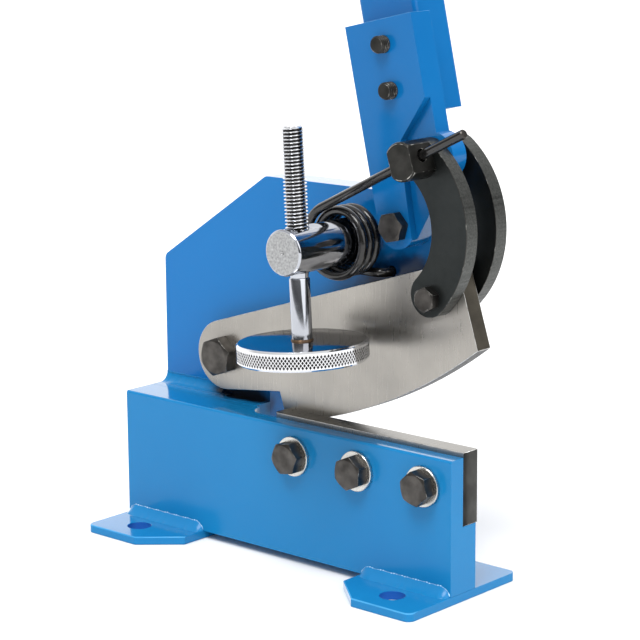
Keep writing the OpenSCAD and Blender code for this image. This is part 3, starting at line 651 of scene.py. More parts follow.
class Shape:
    """Mesh under construction, in millimetres of the works frame."""

    def __init__(self) -> None:
        """Starts empty."""
        self.form = bmesh.new()

    def row(self, points: Iterable[Sequence[float]]) -> Row:
        """Adds a row of vertices."""
        return [self.form.verts.new(point) for point in points]

    def face(self, corners: Sequence[bmesh.types.BMVert], finish: int, smooth: bool) -> None:
        """Adds a face.

        Args:
            corners: Its corners.
            finish: Its material index.
            smooth: True where it is shaded smooth.
        """
        made = self.form.faces.new(corners)
        made.smooth = smooth
        made.material_index = finish

    def join(self, rows: Sequence[Row], finish: int = 0, closed: bool = False) -> None:
        """Joins rings of vertices with smooth faces.

        Args:
            rows: The rings; a ring of one vertex closes the form with a fan.
            finish: The faces' material index.
            closed: True where the last ring meets the first.
        """
        pairs = list(zip(rows, rows[1:])) + ([(rows[-1], rows[0])] if closed else [])
        for low, high in pairs:
            count = max(len(low), len(high))
            for i in range(count):
                j = (i + 1) % count
                corners = (low[i % len(low)], low[j % len(low)],
                           high[j % len(high)], high[i % len(high)])
                distinct = list(dict.fromkeys(corners))
                if len(distinct) > 2:
                    self.face(distinct, finish, True)

    def bar(self, rows: Sequence[Row]) -> None:
        """Joins rings of vertices to a bar with flat ends.

        Args:
            rows: The rings.
        """
        self.join(rows)
        for end in (rows[0], rows[-1]):
            self.face(end, 0, False)

    def rings(
        self, origin: Vector, axis: Vector, profile: Sequence[tuple[Reach, Reach]], sides: int,
        start: float = 0.0,
    ) -> list[Row]:
        """Adds rings round an axis.

        Args:
            origin: A point of the axis.
            axis: Its direction.
            profile: Pairs of a radius and a height along the axis; a radius of 0 is a point.
            sides: Vertices of each ring.
            start: Angle of each ring's first vertex.

        Returns:
            The rings' vertices.
        """
        side = Vector((1, 0, 0))
        up = axis.cross(side)
        angles = [start + FULL_TURN * i / sides for i in range(sides)]
        return [
            self.row(origin + axis * at(height, a)
                     + (side * math.cos(a) + up * math.sin(a)) * at(radius, a)
                     for a in (angles if radius else angles[:1]))
            for radius, height in profile
        ]

    def washer(
        self, seat: Vector, axis: Vector, inner: float, outer: float, thickness: float,
        edge: float = 0.25,
    ) -> None:
        """Adds a washer with broken edges.

        Args:
            seat: Middle of its seat.
            axis: Direction away from the seat.
            inner: Radius of its hole.
            outer: Radius of its rim.
            thickness: Its thickness.
            edge: Width of its broken edges.
        """
        profile = [
            (inner, 0), (outer - edge, 0), (outer, edge), (outer, thickness - edge),
            (outer - edge, thickness), (inner + edge / 2, thickness), (inner, thickness - edge / 2),
        ]
        self.join(self.rings(seat, axis, profile, 72), closed=True)

    def sweep(
        self, path: Sequence[Vector], radii: Sequence[float], sides: int, finish: int = 0
    ) -> None:
        """Adds a round wire along a path, closed at both ends.

        Args:
            path: The wire's middle line.
            radii: The radius at each point of it.
            sides: Sides of the wire.
            finish: Its material index.
        """
        ends = zip(path[:1] + path[:-1], path[1:] + path[-1:])
        along = [(after - before).normalized() for before, after in ends]
        out = along[0].orthogonal().normalized()
        rows = []
        for point, direction, radius in zip(path, along, radii):
            out = (out - direction * out.dot(direction)).normalized()
            side = direction.cross(out)
            angles = (FULL_TURN * k / sides for k in range(sides))
            rows.append(self.row(
                point + (out * math.cos(a) + side * math.sin(a)) * radius for a in angles))
        self.join([self.row(path[:1]), *rows, self.row(path[-1:])], finish)

    def finish_faces(self, choose: Callable[[Vector], int]) -> None:
        """Sets each face's material index from its middle."""
        for face in self.form.faces:
            face.material_index = choose(face.calc_center_median())

    def mesh(self, name: str, sharp: float = SHARP_ANGLE) -> bpy.types.Mesh:
        """Ends the work on the form.

        Args:
            name: The mesh's name.
            sharp: Angle above which an edge stays sharp.

        Returns:
            The mesh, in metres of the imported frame.
        """
        bmesh.ops.recalc_face_normals(self.form, faces=self.form.faces)
        self.form.transform(Matrix.Scale(MM, 4) @ Matrix.Translation(WORKS_ORIGIN))
        made = bpy.data.meshes.new(name)
        self.form.to_mesh(made)
        self.form.free()
        made.set_sharp_from_angle(angle=sharp)
        return made


@dataclass(frozen=True)
class Thread:
    """Round screw thread."""

    diameter: float
    pitch: float
    depth_share: float = 0.6
    crest: float = 0.14
    root: float = 0.78
    steps: int = 10

    def radius(self, angle: float, height: float, low: float, high: float) -> float:
        """Gives the thread's radius at an angle and a height.

        Args:
            angle: The angle.
            height: The height.
            low: Height of the thread's lower chamfered end.
            high: Height of its upper one.

        Returns:
            The radius.
        """
        phase = (height / self.pitch - angle / FULL_TURN) % 1
        wave = abs(2 * phase - 1)
        share = min(1.0, max(0.0, (wave - self.crest) / (self.root - self.crest)))
        bite = self.pitch * self.depth_share
        chamfer = max(0.0, min(height - low, high - height))
        return self.diameter / 2 - max(bite * share, bite - chamfer)

    def profile(
        self, first: float, last: float, count: int, low: float
    ) -> list[tuple[Reach, float]]:
        """Gives the rings of a threaded stretch.

        Args:
            first: Height of the first ring.
            last: Height of the last ring, where the thread is chamfered.
            count: Steps between them.
            low: Height of the lower chamfer, which may lie under the first ring.

        Returns:
            Pairs of a radius by angle and a height.
        """
        return [(lambda angle, h=h: self.radius(angle, h, low, last), h)
                for h in spaced(first, last, count)]


@dataclass(frozen=True)
class Hexagon:
    """Hexagon of a bolt head, or of a nut where it has a bore."""

    flats: float
    height: float
    turn: float
    bore: float = 0.0
    chamfer_share: float = 0.94
    corner_share: float = 0.986
    slope: float = 0.55
    bite_share: float = 0.08
    dish_share: float = 0.9
    dish_depth: float = 0.04
    sides: int = 96

    def reach(self, angle: float) -> float:
        """Gives the hexagon's radius.

        Args:
            angle: The angle round its axis.

        Returns:
            The radius, with the corners cut.
        """
        sixth = FULL_TURN / 6
        part = (angle - math.radians(self.turn)) % sixth - sixth / 2
        corner = self.flats / 2 / math.cos(sixth / 2)
        return min(self.flats / 2 / math.cos(part), corner * self.corner_share)

    def add(self, shape: Shape, origin: Vector, axis: Vector) -> None:
        """Adds the hexagon to a shape.

        Args:
            shape: The shape.
            origin: Middle of its seat.
            axis: Direction away from the seat.
        """
        face = self.flats / 2 * self.chamfer_share
        top = self.height

        def drop(angle: float) -> float:
            """Gives how far the chamfer has come down at the hexagon's side."""
            return (self.reach(angle) - face) * self.slope

        sloped = [(self.reach, lambda a: top - drop(a)), (face, top)]
        if self.bore:
            bite = self.bore * self.bite_share
            profile = [(face, 0), (self.reach, drop), *sloped, (self.bore + bite, top),
                       (self.bore, top - bite), (self.bore, 0)]
        else:
            dish = top - self.dish_depth
            profile = [(0, 0), (self.reach, 0), *sloped, (face * self.dish_share, dish), (0, dish)]
        rows = shape.rings(origin, axis, profile, self.sides, math.radians(self.turn))
        shape.join(rows, closed=bool(self.bore))


@dataclass(frozen=True)
class Shank:
    """Shank of a bolt with a threaded end."""

    diameter: float
    pitch: float
    length: float
    threaded: float
    slack: float = 0.05
    sides: int = 48

    def add(self, shape: Shape, origin: Vector, axis: Vector) -> None:
        """Adds the shank to a shape.

        Args:
            shape: The shape.
            origin: Middle of the head's seat.
            axis: Direction away from the head.
        """
        thread = Thread(self.diameter, self.pitch)
        start = self.length - self.threaded
        count = math.ceil(self.threaded / self.pitch * thread.steps)
        plain = self.diameter / 2 - self.slack
        shape.join(shape.rings(origin, axis, [
            (0, 0), (plain, 0), (plain, start), *thread.profile(start, self.length, count, start),
            (0, self.length)], self.sides))


@dataclass
class Frame:
    """Welded frame: beam, spacer, upright, feet and welds."""

    shop: Workshop
    beam_length: float = 263.0
    beam_height: float = 80.0
    notch_start: float = 92.0
    slot_front: float = 23.0
    upright_front: float = 36.4
    upright_inset: float = 0.5
    foot_width: float = 66.5
    hole_inset: float = 28.0
    hole_ahead: float = 18.0
    edge_ahead: float = 10.0
    hole_radius: float = 7.5
    near_hole: float = 0.5
    weld_leg: float = 6.5
    sunk: float = 0.3
    toe: float = 0.5
    toe_sides: int = 8
    bead_inset: float = 0.6
    bead_step: float = 0.4
    bead_run_out: float = 7.0
    bead_least: float = 0.02
    bead_pitch: float = 3.4
    bead_bulge: float = -0.45
    bead_ripple: float = 0.03
    bead_lean: float = 0.7
    bead_points: int = 8
    foot_short: float = 0.6
    beam_short: float = 0.9
    beam_drift: float = 0.8
    beam_rise: float = 0.2
    toe_ahead: float = 0.1
    glint_least: float = 0.12
    glint_rates: Place = (3.1, 0.37)
    wave_count: int = 6
    wave_lengths: Place = (4, 16)
    wave_sizes: Place = (0.1, 0.3)
    wave_share: float = 0.35
    seed: int = 7
    corner_length: float = 60.0
    corner_count: int = 120
    corner_run_out: float = 9.0
    corner_least: float = 0.05
    corner_most: float = 1.03
    corner_ripples: tuple[Place, ...] = ((0.03, 0.9), (0.02, 2.3))
    corner_points: int = 10
    corner_toe_in: float = 0.05
    corner_toe_share: float = 0.6

    def build(self) -> None:
        """Builds the frame's pieces."""
        edges = Rounding(0.8, 3)

        def hidden_joint(first: Vector, second: Vector) -> bool:
            """True for edges of the joint of beam and spacer, which is filled and painted over."""
            return all(abs(p.y - self.slot_front) < TOUCH and p.x < self.notch_start
                       for p in (first, second))

        def spacer_joint(first: Vector, second: Vector) -> bool:
            """True for edges of the spacer that lie against beam or upright."""
            return any(all(abs(p.y - face) < TOUCH for p in (first, second))
                       for face in (self.slot_front, self.upright_front))

        for name, node, finish, joint in (
                ("painted_beam", "frame_beam", Finish.PAINT, hidden_joint),
                ("painted_spacer", "spacer_plate", Finish.PAINT, spacer_joint),
                ("painted_upright", "upright_plate", Finish.UPRIGHT_SHADED_PAINT, None)):
            self.shop.dress(name, node, Body.FRAME, Slot.PAINT, (finish,), edges, keep_sharp=joint)

        def from_hole(point: Vector) -> float:
            """Gives a point's distance from the nearer base hole's wall."""
            side = min(point.x, self.beam_length - point.x)
            return math.hypot(side - self.hole_inset, point.y + self.hole_ahead) - self.hole_radius

        def in_hole(normal: Vector, middle: Vector) -> int:
            """The base holes' walls get painted shade inside."""
            return int(abs(normal.z) < 0.5 and from_hole(middle) < self.near_hole)

        def bright(first: Vector, second: Vector) -> bool:
            """The feet's front upper edges get a painted highlight."""
            ahead = max(first.y, second.y) < -self.edge_ahead and min(first.z, second.z) > -0.5
            return ahead and from_hole(first) > self.near_hole

        # Paint, painted shade in the base holes and the painted highlight on the front edges.
        coated = (Finish.PAINT, Finish.HOLE_SHADE, Finish.FOOT_EDGE_HIGHLIGHT)
        for node in ("left_foot", "right_foot"):
            self.shop.dress("painted_" + node, node, Body.FRAME, Slot.PAINT, coated,
                            Rounding(0.6, 3), in_hole, highlit=bright)
        self.foot_beads()
        self.corner_fillet()

    def foot_beads(self) -> None:
        """Builds the rippled beads between the feet and the beam's front."""
        shape = Shape()
        chance = random.Random(self.seed)
        sunk = self.sunk
        near, far = self.bead_inset, self.foot_width
        for first, last in ((near, far), (self.beam_length - far, self.beam_length - near)):
            waves = [(chance.uniform(*self.wave_lengths), chance.uniform(0, FULL_TURN),
                      chance.uniform(*self.wave_sizes)) for _ in range(self.wave_count)]
            rows = []
            toe = []
            for x in spaced(first, last, round((last - first) / self.bead_step)):
                ends = min(1.0, min(x - first, last - x) / self.bead_run_out)
                taper = math.sqrt(max(self.bead_least, ends * (2 - ends)))
                drift = self.wave_share * sum(
                    size * math.sin(x * FULL_TURN / length + phase)
                    for length, phase, size in waves)
                ripple = abs(math.sin(math.pi * (x + drift) / self.bead_pitch))
                foot_leg = (self.weld_leg - self.foot_short + drift) * taper
                beam_leg = (self.weld_leg - self.beam_short - drift * self.beam_drift) * taper
                points = [Vector((x, sunk, -sunk)), Vector((x, -foot_leg - sunk, -sunk))]
                for share in spaced(0, 1, self.bead_points):
                    swell = self.bead_bulge + self.bead_ripple * ripple
                    bulge = swell * math.sin(math.pi * share) * taper * self.bead_lean
                    points.append(Vector(
                        (x, -foot_leg * (1 - share) - bulge, beam_leg * share + bulge)))
                points.append(Vector((x, sunk, beam_leg + self.beam_rise)))
                rows.append(shape.row(points))
                toe.append(Vector((x, -self.toe_ahead, beam_leg)))
            shape.bar(rows)
            # The toe line carries a painted glint along the bead's top.
            shape.sweep(toe, [self.toe * self.glint(p.x) for p in toe], self.toe_sides, 1)
        self.shop.fit("foot_weld_beads", shape.mesh("foot_weld_beads", math.radians(50)),
                      Body.FRAME, Slot.PAINT, (Finish.PAINT, Finish.TOE_GLINT), "foot_welds")

    def glint(self, x: float) -> float:
        """Gives the share of the toe line's radius at X: a row of drops that come and go."""
        drop = max(0.0, math.sin(x * self.glint_rates[0])) * math.cos(x * self.glint_rates[1]) ** 2
        return self.glint_least + (1 - self.glint_least) * drop

    def corner_fillet(self) -> None:
        """Builds the hollow fillet between the spacer's top and the upright's front."""
        shape = Shape()
        first = self.upright_inset
        last = first + self.corner_length
        rows = []
        toe = []
        for x in spaced(first, last, self.corner_count):
            fade = min(1.0, (last - x) / self.corner_run_out + self.corner_least)
            ripple = 1 + sum(size * math.sin(x * rate) for size, rate in self.corner_ripples)
            leg = self.weld_leg * min(fade * ripple, self.corner_most)
            points = [(x, self.upright_front + self.sunk, self.beam_height - self.sunk)]
            for angle in spaced(0, math.pi / 2, self.corner_points):
                points.append((x, self.upright_front - leg * (1 - math.sin(angle)),
                               self.beam_height + leg * (1 - math.cos(angle))))
            rows.append(shape.row(points))
            toe.append(Vector((x, self.upright_front - self.corner_toe_in,
                               self.beam_height + leg - self.toe)))
        shape.bar(rows)
        shape.sweep(toe, [self.toe * self.corner_toe_share] * len(toe), self.toe_sides)
        self.shop.fit("corner_weld_fillet", shape.mesh("corner_weld_fillet", math.radians(60)),
                      Body.FRAME, Slot.PAINT, (Finish.PAINT,), "corner_weld")


@dataclass
class FixedBlade:
    """Fixed lower blade with its three bolts and bright washers."""

    shop: Workshop
    bolt_places: tuple[Place, ...] = ((144.0, 62.2), (193.5, 62.2), (243.0, 62.2))
    turns: tuple[float, ...] = (9.0, 25.0, 43.0)
    flats: float = 18.0
    head: float = 7.5
    diameter: float = 12.0
    pitch: float = 1.75
    threaded: float = 10.0
    washer: float = 24.0
    washer_thickness: float = 2.5
    washer_slack: float = 0.3
    washer_edge: float = 0.35
    shank_end: float = 23.15
    slot_middle: float = 16.0

    def build(self) -> None:
        """Builds the blade, its bolts and its washers."""

        def by_side(normal: Vector, _: Vector) -> int:
            """The ends and the underside keep their hardening scale, the rest is ground."""
            return int(abs(normal.x) > FACING or normal.z < -0.5)

        def front_upright(first: Vector, second: Vector) -> bool:
            """The edge that stands against the slot's front wall stays sharp."""
            return abs(first.z - second.z) > 1 and max(first.y, second.y) < self.slot_middle

        self.shop.dress("ground_fixed_blade", "fixed_blade", Body.FRAME, Slot.GROUND,
                        (Finish.GROUND, Finish.SCALE, Finish.BRIGHT_EDGE), Rounding(0.3, 2, 2),
                        by_side, front_upright)
        bolts = Shape()
        washers = Shape()
        thick = self.washer_thickness
        for (x, z), turn in zip(self.bolt_places, self.turns):
            seat = Vector((x, -thick, z))
            Hexagon(self.flats, self.head, turn).add(bolts, seat, TO_FRONT)
            Shank(self.diameter, self.pitch, self.shank_end + thick, self.threaded).add(
                bolts, seat, TO_REAR)
            washers.washer(Vector((x, 0, z)), TO_FRONT, self.diameter / 2 + self.washer_slack,
                           self.washer / 2, thick, self.washer_edge)
        self.shop.fit("blade_bolts", bolts.mesh("blade_bolts"), Body.FRAME, Slot.BLACK,
                      (Finish.BLACK, Finish.WORN), "fixed_blade_bolts", Rounding(0.22, 2, 1))
        self.shop.fit("blade_washers", washers.mesh("blade_washers"), Body.FRAME, Slot.ZINC,
                      (Finish.ZINC,), "fixed_blade_washers")


@dataclass(frozen=True)
class ThroughBolt:
    """Bolt from the front with a washer and a nut behind a seat; no bolt where it has no head."""

    name: str
    body: Body
    place: Place
    seat: float
    rear_seat: float
    diameter: float
    pitch: float
    flats: float = 0.0
    head: float = 0.0
    turn: float = 0.0
    washer_thickness: float = 2.0
    washer_slack: float = 0.2
    nut_slack: float = 0.05
    beyond: float = 3.0
    more_thread: float = 4.0
    nut_share: float = 0.8
    flats_share: float = 1.6
    nut_turn: float = 12.0

    def build(self, shop: Workshop) -> None:
        """Builds bolt, washer and nut.

        Args:
            shop: The workshop that sets the pieces into the scene.
        """
        x, z = self.place
        nut_height = self.diameter * self.nut_share
        nut_seat = self.rear_seat + self.washer_thickness
        if self.head:
            bolt = Shape()
            seat = Vector((x, self.seat, z))
            Hexagon(self.flats, self.head, self.turn).add(bolt, seat, TO_FRONT)
            threaded = nut_height + self.beyond
            Shank(self.diameter, self.pitch, nut_seat + threaded - self.seat,
                  threaded + self.more_thread).add(bolt, seat, TO_REAR)
            shop.fit(f"{self.name}_bolt_black", bolt.mesh("bolt"), self.body, Slot.BLACK,
                     (Finish.BLACK, Finish.WORN), f"{self.name}_bolt", Rounding(0.22, 2, 1))
        washer = Shape()
        washer.washer(Vector((x, self.rear_seat, z)), TO_REAR,
                      self.diameter / 2 + self.washer_slack, self.diameter, self.washer_thickness)
        shop.fit(f"{self.name}_washer_ring", washer.mesh("washer"), self.body, Slot.BLACK,
                 (Finish.BLACK,), f"{self.name}_washer")
        nut = Shape()
        Hexagon(self.diameter * self.flats_share, nut_height, self.nut_turn,
                self.diameter / 2 + self.nut_slack).add(nut, Vector((x, nut_seat, z)), TO_REAR)
        shop.fit(f"{self.name}_nut_hexagon", nut.mesh("nut"), self.body, Slot.BLACK,
                 (Finish.BLACK, Finish.WORN), f"{self.name}_nut", Rounding(0.2, 2, 1))


@dataclass
class HoldDown:
    """Polished post with its screw and knurled pressing disc."""

    shop: Workshop
    place: Place = POST_PLACE
    post: float = 27.0
    post_front: float = -36.7
    post_sides: int = 96
    centre_hole: tuple[Place, ...] = ((0.0, 1.1), (0.9, 0.25), (1.2, 0.0))
    groove_start: float = 1.7
    groove_pitch: float = 0.56
    groove_depth: float = 0.05
    upright_front: float = 36.4
    stub: float = 12.0
    stub_pitch: float = 1.75
    stub_end: float = 71.0
    stub_relief: float = 2.0
    screw_y: float = -23.5
    screw: float = 13.5
    screw_slack: float = 0.15
    screw_sides: int = 64
    pitch: float = 2.0
    depth_share: float = 0.61
    root_share: float = 0.72
    rod: float = 12.0
    neck: float = 10.4
    shoulder: float = 177.4
    thread_low: float = 180.2
    screw_top: float = 264.0
    lean_angle: float = 2.9
    disc: float = 76.5
    disc_thickness: float = 11.6
    disc_top: float = 141.0
    chamfer: float = 1.0
    diamonds: int = 112
    knurl_rows: int = 6
    knurl_low: float = 1.15
    knurl_high: float = 1.75
    knurl_depth: float = 0.7
    pit_share: float = 0.76

    def build(self) -> None:
        """Builds the hold-down."""
        self.build_post()
        self.build_screw()
        self.build_disc()
        self.build_braze()
        ThroughBolt("post", Body.FRAME, self.place, self.upright_front, UPRIGHT_REAR,
                    self.stub, self.stub_pitch).build(self.shop)

    def lean(self, shape: Shape) -> Shape:
        """Turns a shape about the post's axis, as the whole hold-down leans.

        Args:
            shape: The shape.

        Returns:
            The same shape.
        """
        middle = Vector((self.place[0], 0, self.place[1]))
        turn = Matrix.Rotation(-math.radians(self.lean_angle), 4, "Y")
        shape.form.transform(Matrix.Translation(middle) @ turn @ Matrix.Translation(-middle))
        return shape

    def build_post(self) -> None:
        """Builds the post with its threaded stub and turned front face."""
        x, z = self.place
        shape = Shape()
        origin = Vector((x, self.post_front, z))
        full = self.post / 2
        length = self.upright_front - self.post_front
        face = list(self.centre_hole)
        radius = self.groove_start
        while radius < full - self.chamfer - 0.6:
            face += [(radius, 0.0), (radius + self.groove_pitch / 2, self.groove_depth)]
            radius += self.groove_pitch
        face.append((full - self.chamfer - 0.2, 0.0))
        side = [(full - self.chamfer, 0.0), (full - 0.45, 0.35), (full, 1.0), (full, 4.0),
                (full, length * 0.4), (full, length - 0.4), (full - 0.4, length)]
        rows = shape.rings(origin, TO_REAR, face + side, self.post_sides)
        shape.join(rows[:len(face)], 1)
        shape.join(rows[len(face) - 1:])
        thread = Thread(self.stub, self.stub_pitch)
        end = self.stub_end - self.post_front
        count = round((end - length) / self.stub_pitch * thread.steps)
        stub = thread.profile(length, end, count, length - self.stub_relief)
        shape.join([rows[-1], *shape.rings(origin, TO_REAR, [*stub, (0, end)], self.post_sides)])
        piece = self.shop.fit("polished_post", shape.mesh("polished_post"), Body.FRAME,
                              Slot.CHROME, (Finish.CHROME_SHADED, Finish.TURNED), "hold_down_post")
        cutter = Shape()
        reach = self.screw / 2 + self.screw_slack
        cutter.join(cutter.rings(
            Vector((x, self.screw_y, z - self.post)), UPWARDS,
            [(0, 0), (reach, 0), (reach, 2 * self.post), (0, 2 * self.post)], 72))
        self.drill(piece, self.lean(cutter).mesh("screw_hole"))

    @staticmethod
    def drill(piece: bpy.types.Object, cutter: bpy.types.Mesh) -> None:
        """Takes a cutter's form out of a piece's mesh for good.

        Args:
            piece: The piece.
            cutter: The form that is taken out.
        """
        tool = add_object("drill", cutter)
        cut = piece.modifiers.new("hole", "BOOLEAN")
        cut.operation = "DIFFERENCE"
        cut.solver = "EXACT"
        cut.object = tool
        graph = bpy.context.evaluated_depsgraph_get()
        drilled = bpy.data.meshes.new_from_object(piece.evaluated_get(graph))
        piece.modifiers.remove(cut)
        piece.data = drilled
        bpy.data.objects.remove(tool)

    def build_screw(self) -> None:
        """Builds the rod with its shoulder, its neck and the thread above."""
        origin = Vector((self.place[0], self.screw_y, 0))
        bottom = self.disc_top - self.disc_thickness / 2
        rod = self.rod / 2
        thread = Thread(self.screw, self.pitch, self.depth_share)
        count = round((self.screw_top - self.thread_low) / self.pitch * thread.steps)
        shape = Shape()
        shape.join(shape.rings(origin, UPWARDS, [
            (0, bottom), (rod, bottom), (rod, self.shoulder - 0.9),
            (rod - 0.25, self.shoulder - 0.2), (rod - 0.7, self.shoulder),
            (self.neck / 2, self.shoulder + 0.1),
            *thread.profile(self.thread_low, self.screw_top, count, self.thread_low),
            (0, self.screw_top)], self.screw_sides))
        root = self.screw / 2 - self.depth_share * self.pitch * self.root_share

        def in_root(middle: Vector) -> int:
            """The rod gets the darker chrome of painted shade, and the thread's roots get painted
            shade.
            """
            deep = middle.z < self.screw_top - 1 and (middle - origin).xy.length < root
            return 2 if middle.z < self.thread_low else int(deep)

        shape.finish_faces(in_root)
        self.shop.fit("threaded_screw", self.lean(shape).mesh("threaded_screw"), Body.HOLD_DOWN,
                      Slot.CHROME, (Finish.CHROME, Finish.HOLLOW_SHADE, Finish.CHROME_SHADED), "hold_down_screw")

    def build_disc(self) -> None:
        """Builds the disc with its diamond knurl."""
        shape = Shape()
        top = self.disc_thickness
        origin = Vector((self.place[0], self.screw_y, self.disc_top - top))
        outer = self.disc / 2
        inner = outer - self.chamfer

        def rings(profile: Sequence[Place]) -> list[Row]:
            """Adds the rings of a profile."""
            return shape.rings(origin, UPWARDS, profile, self.diamonds * 2)

        lower = rings([(inner - 0.3, 0.0), (inner, 0.1), (outer - 0.25, self.chamfer - 0.1),
                       (outer, self.chamfer + 0.1), (outer, self.knurl_low)])
        upper = rings([(outer, top - self.knurl_high), (outer, top - self.chamfer - 0.1),
                       (outer - 0.25, top - self.chamfer + 0.1), (inner, top - 0.1),
                       (inner - 0.35, top)])
        shape.join([*rings([(0, 0.0), (inner / 2, 0.0)]), lower[0]])
        shape.join([upper[-1], *rings([(inner / 2, top), (0, top)])])
        shape.join(lower, 1)
        shape.join(upper, 1)
        self.knurl(shape, origin, lower[-1], upper[0])
        self.shop.fit("knurled_disc", self.lean(shape).mesh("knurled_disc", math.radians(20)),
                      Body.HOLD_DOWN, Slot.CHROME,
                      (Finish.POLISHED, Finish.CHROME, Finish.HOLLOW_SHADE), "hold_down_disc")

    def knurl(self, shape: Shape, origin: Vector, below: Row, above: Row) -> None:
        """Adds the knurled band: sunk diamonds between raised lines.

        Args:
            shape: The disc under construction.
            origin: Middle of the disc's underside.
            below: The ring of vertices under the band.
            above: The ring of vertices over the band.
        """
        outer = self.disc / 2
        sides = self.diamonds * 2
        low = self.knurl_low
        step = (self.disc_thickness - self.knurl_high - low) / self.knurl_rows
        crests: dict[tuple[int, int], bmesh.types.BMVert] = {}

        def point(turn: float, level: float, radius: float = outer) -> bmesh.types.BMVert:
            """Adds one vertex of the band."""
            angle = FULL_TURN * turn / sides
            return shape.form.verts.new(origin + Vector(
                (math.cos(angle) * radius, math.sin(angle) * radius, low + level * step)))

        def crest(i: int, j: int) -> bmesh.types.BMVert:
            """Gives the vertex where raised lines cross.

            Args:
                i: Its number round the band.
                j: Its row, from the lower ring to the upper one.

            Returns:
                The vertex.
            """
            i %= sides
            if j in (0, self.knurl_rows):
                return above[i] if j else below[i]
            if (i, j) not in crests:
                crests[i, j] = point(i, j)
            return crests[i, j]

        share = self.pit_share
        for j in range(self.knurl_rows + 1):
            for i in range((j + 1) % 2, sides, 2):
                if j in (0, self.knurl_rows):
                    tip = crest(i, j - 1 if j else 1)
                    shape.face((crest(i - 1, j), crest(i, j), tip), 1, False)
                    shape.face((crest(i, j), crest(i + 1, j), tip), 1, False)
                    continue
                corners = [crest(i - 1, j), crest(i, j - 1), crest(i + 1, j), crest(i, j + 1)]
                lips = [point(i - share, j), point(i, j - share),
                        point(i + share, j), point(i, j + share)]
                pit = point(i, j, outer - self.knurl_depth)
                for k, n in ((0, 1), (1, 2), (2, 3), (3, 0)):
                    shape.face((corners[k], corners[n], lips[n], lips[k]), 1, False)
                    # The pit's faces get painted shade.
                    shape.face((lips[k], lips[n], pit), 2, False)

    def build_braze(self) -> None:
        """Builds the uneven ring of brazing metal at the foot of the rod."""
        shape = Shape()
        origin = Vector((self.place[0], self.screw_y, self.disc_top))
        rod = self.rod / 2

        def wavy(base: float, size: float) -> Reach:
            """Gives a radius that changes a little round the rod."""
            return lambda angle: base + size * (math.sin(5 * angle) + math.sin(11 * angle + 1)) / 2

        profile = [(rod - 0.3, -0.1), (wavy(rod + 0.7, 0.1), -0.05), (wavy(rod + 0.5, 0.08), 0.4),
                   (wavy(rod + 0.2, 0.05), 0.95), (rod - 0.3, 1.25)]
        shape.join(shape.rings(origin, UPWARDS, profile, self.screw_sides), closed=True)
        self.shop.fit("brazed_ring", self.lean(shape).mesh("brazed_ring", math.radians(60)),
                      Body.HOLD_DOWN, Slot.BRASS, (Finish.BRASS,), "braze_ring")


@dataclass
class MovingBlade:
    """Curved moving blade."""

    shop: Workshop

    def build(self) -> None:
        """Builds the blade."""

        def by_side(normal: Vector, _: Vector) -> int:
            """Both broad faces are ground, the rim is milled, with painted shade underneath."""
            rim = 3 if normal.z < -FACING else 1
            return 0 if abs(normal.y) > FACING else rim

        self.shop.dress("ground_moving_blade", "moving_blade", Body.BLADE, Slot.GROUND,
                        (Finish.GROUND, Finish.BLADE_EDGE, Finish.BRIGHT_EDGE, Finish.HOLLOW_SHADE),
                        Rounding(0.3, 2, 2), by_side)


@dataclass
class Lever:
    """Hand lever: plate, handle tube, plug and handle bolts."""

    shop: Workshop
    pivot: Place = LEVER_PIVOT
    tilt: float = 12.4
    front: float = 19.3
    rear: float = 36.3
    tube_wall: float = 2.0
    plate_top: float = 310.0
    ear_top: float = 255.0
    bolt_side: float = 12.8
    bolt_heights: tuple[float, ...] = (76.5, 102.8)
    bolt_diameter: float = 10.0
    bolt_out: float = 6.5
    pitch: float = 1.5
    threaded: float = 16.0
    washer_thickness: float = 2.0
    washer_slack: float = 0.2
    head_share: float = 0.8
    flats_share: float = 1.6
    head_turn: float = 12.0

    def place(self, side: float, along: float) -> Place:
        """Gives the place of a point of the lever in X and Z.

        Args:
            side: Its distance to the right of the lever's middle line.
            along: Its distance from the pivot along that line.

        Returns:
            X and Z.
        """
        angle = math.radians(self.tilt)
        return (self.pivot[0] + side * math.cos(angle) - along * math.sin(angle),
                self.pivot[1] + side * math.sin(angle) + along * math.cos(angle))

    def build(self) -> None:
        """Builds the lever's pieces."""
        # Lever paint with painted shade, and the painted highlight for its picked edges.
        coated = (Finish.LEVER_SHADED_PAINT, Finish.EDGE_HIGHLIGHT)

        def bright(first: Vector, second: Vector) -> bool:
            """Painted highlight round the plate's top and down its right rear edge."""
            left, near, low = (min(pair) for pair in zip(first, second))
            return low > self.plate_top or (
                near > self.rear - 1 and left > self.pivot[0] and low > self.ear_top)

        self.shop.dress("painted_lever_plate", "lever_plate", Body.LEVER, Slot.PAINT, coated,
                        Rounding(0.9, 3), highlit=bright)
        self.shop.dress("painted_handle_tube", "handle_tube", Body.LEVER, Slot.PAINT, coated,
                        Rounding(0.3, 2))
        self.shop.dress("handle_plug_cap", "handle_end_plug", Body.LEVER, Slot.PLASTIC,
                        (Finish.PLASTIC,), Rounding(1.0, 3))
        bolts = Shape()
        washers = Shape()
        seat = self.rear + self.tube_wall
        head_seat = seat + self.washer_thickness
        size = self.bolt_diameter
        for height in self.bolt_heights:
            x, z = self.place(self.bolt_side, height)
            head = Vector((x, head_seat, z))
            Hexagon(size * self.flats_share, size * self.head_share, self.head_turn).add(
                bolts, head, TO_REAR)
            Shank(size, self.pitch, head_seat - self.front + self.bolt_out, self.threaded).add(
                bolts, head, TO_FRONT)
            washers.washer(Vector((x, seat, z)), TO_REAR, size / 2 + self.washer_slack, size,
                           self.washer_thickness)
        self.shop.fit("handle_bolts_black", bolts.mesh("handle_bolts_black"), Body.LEVER,
                      Slot.BLACK, (Finish.PIN_BLACK, Finish.WORN), "handle_bolts",
                      Rounding(0.15, 2, 1))
        self.shop.fit("handle_washers_black", washers.mesh("handle_washers_black"), Body.LEVER,
                      Slot.BLACK, (Finish.BLACK,), "handle_bolt_washers")


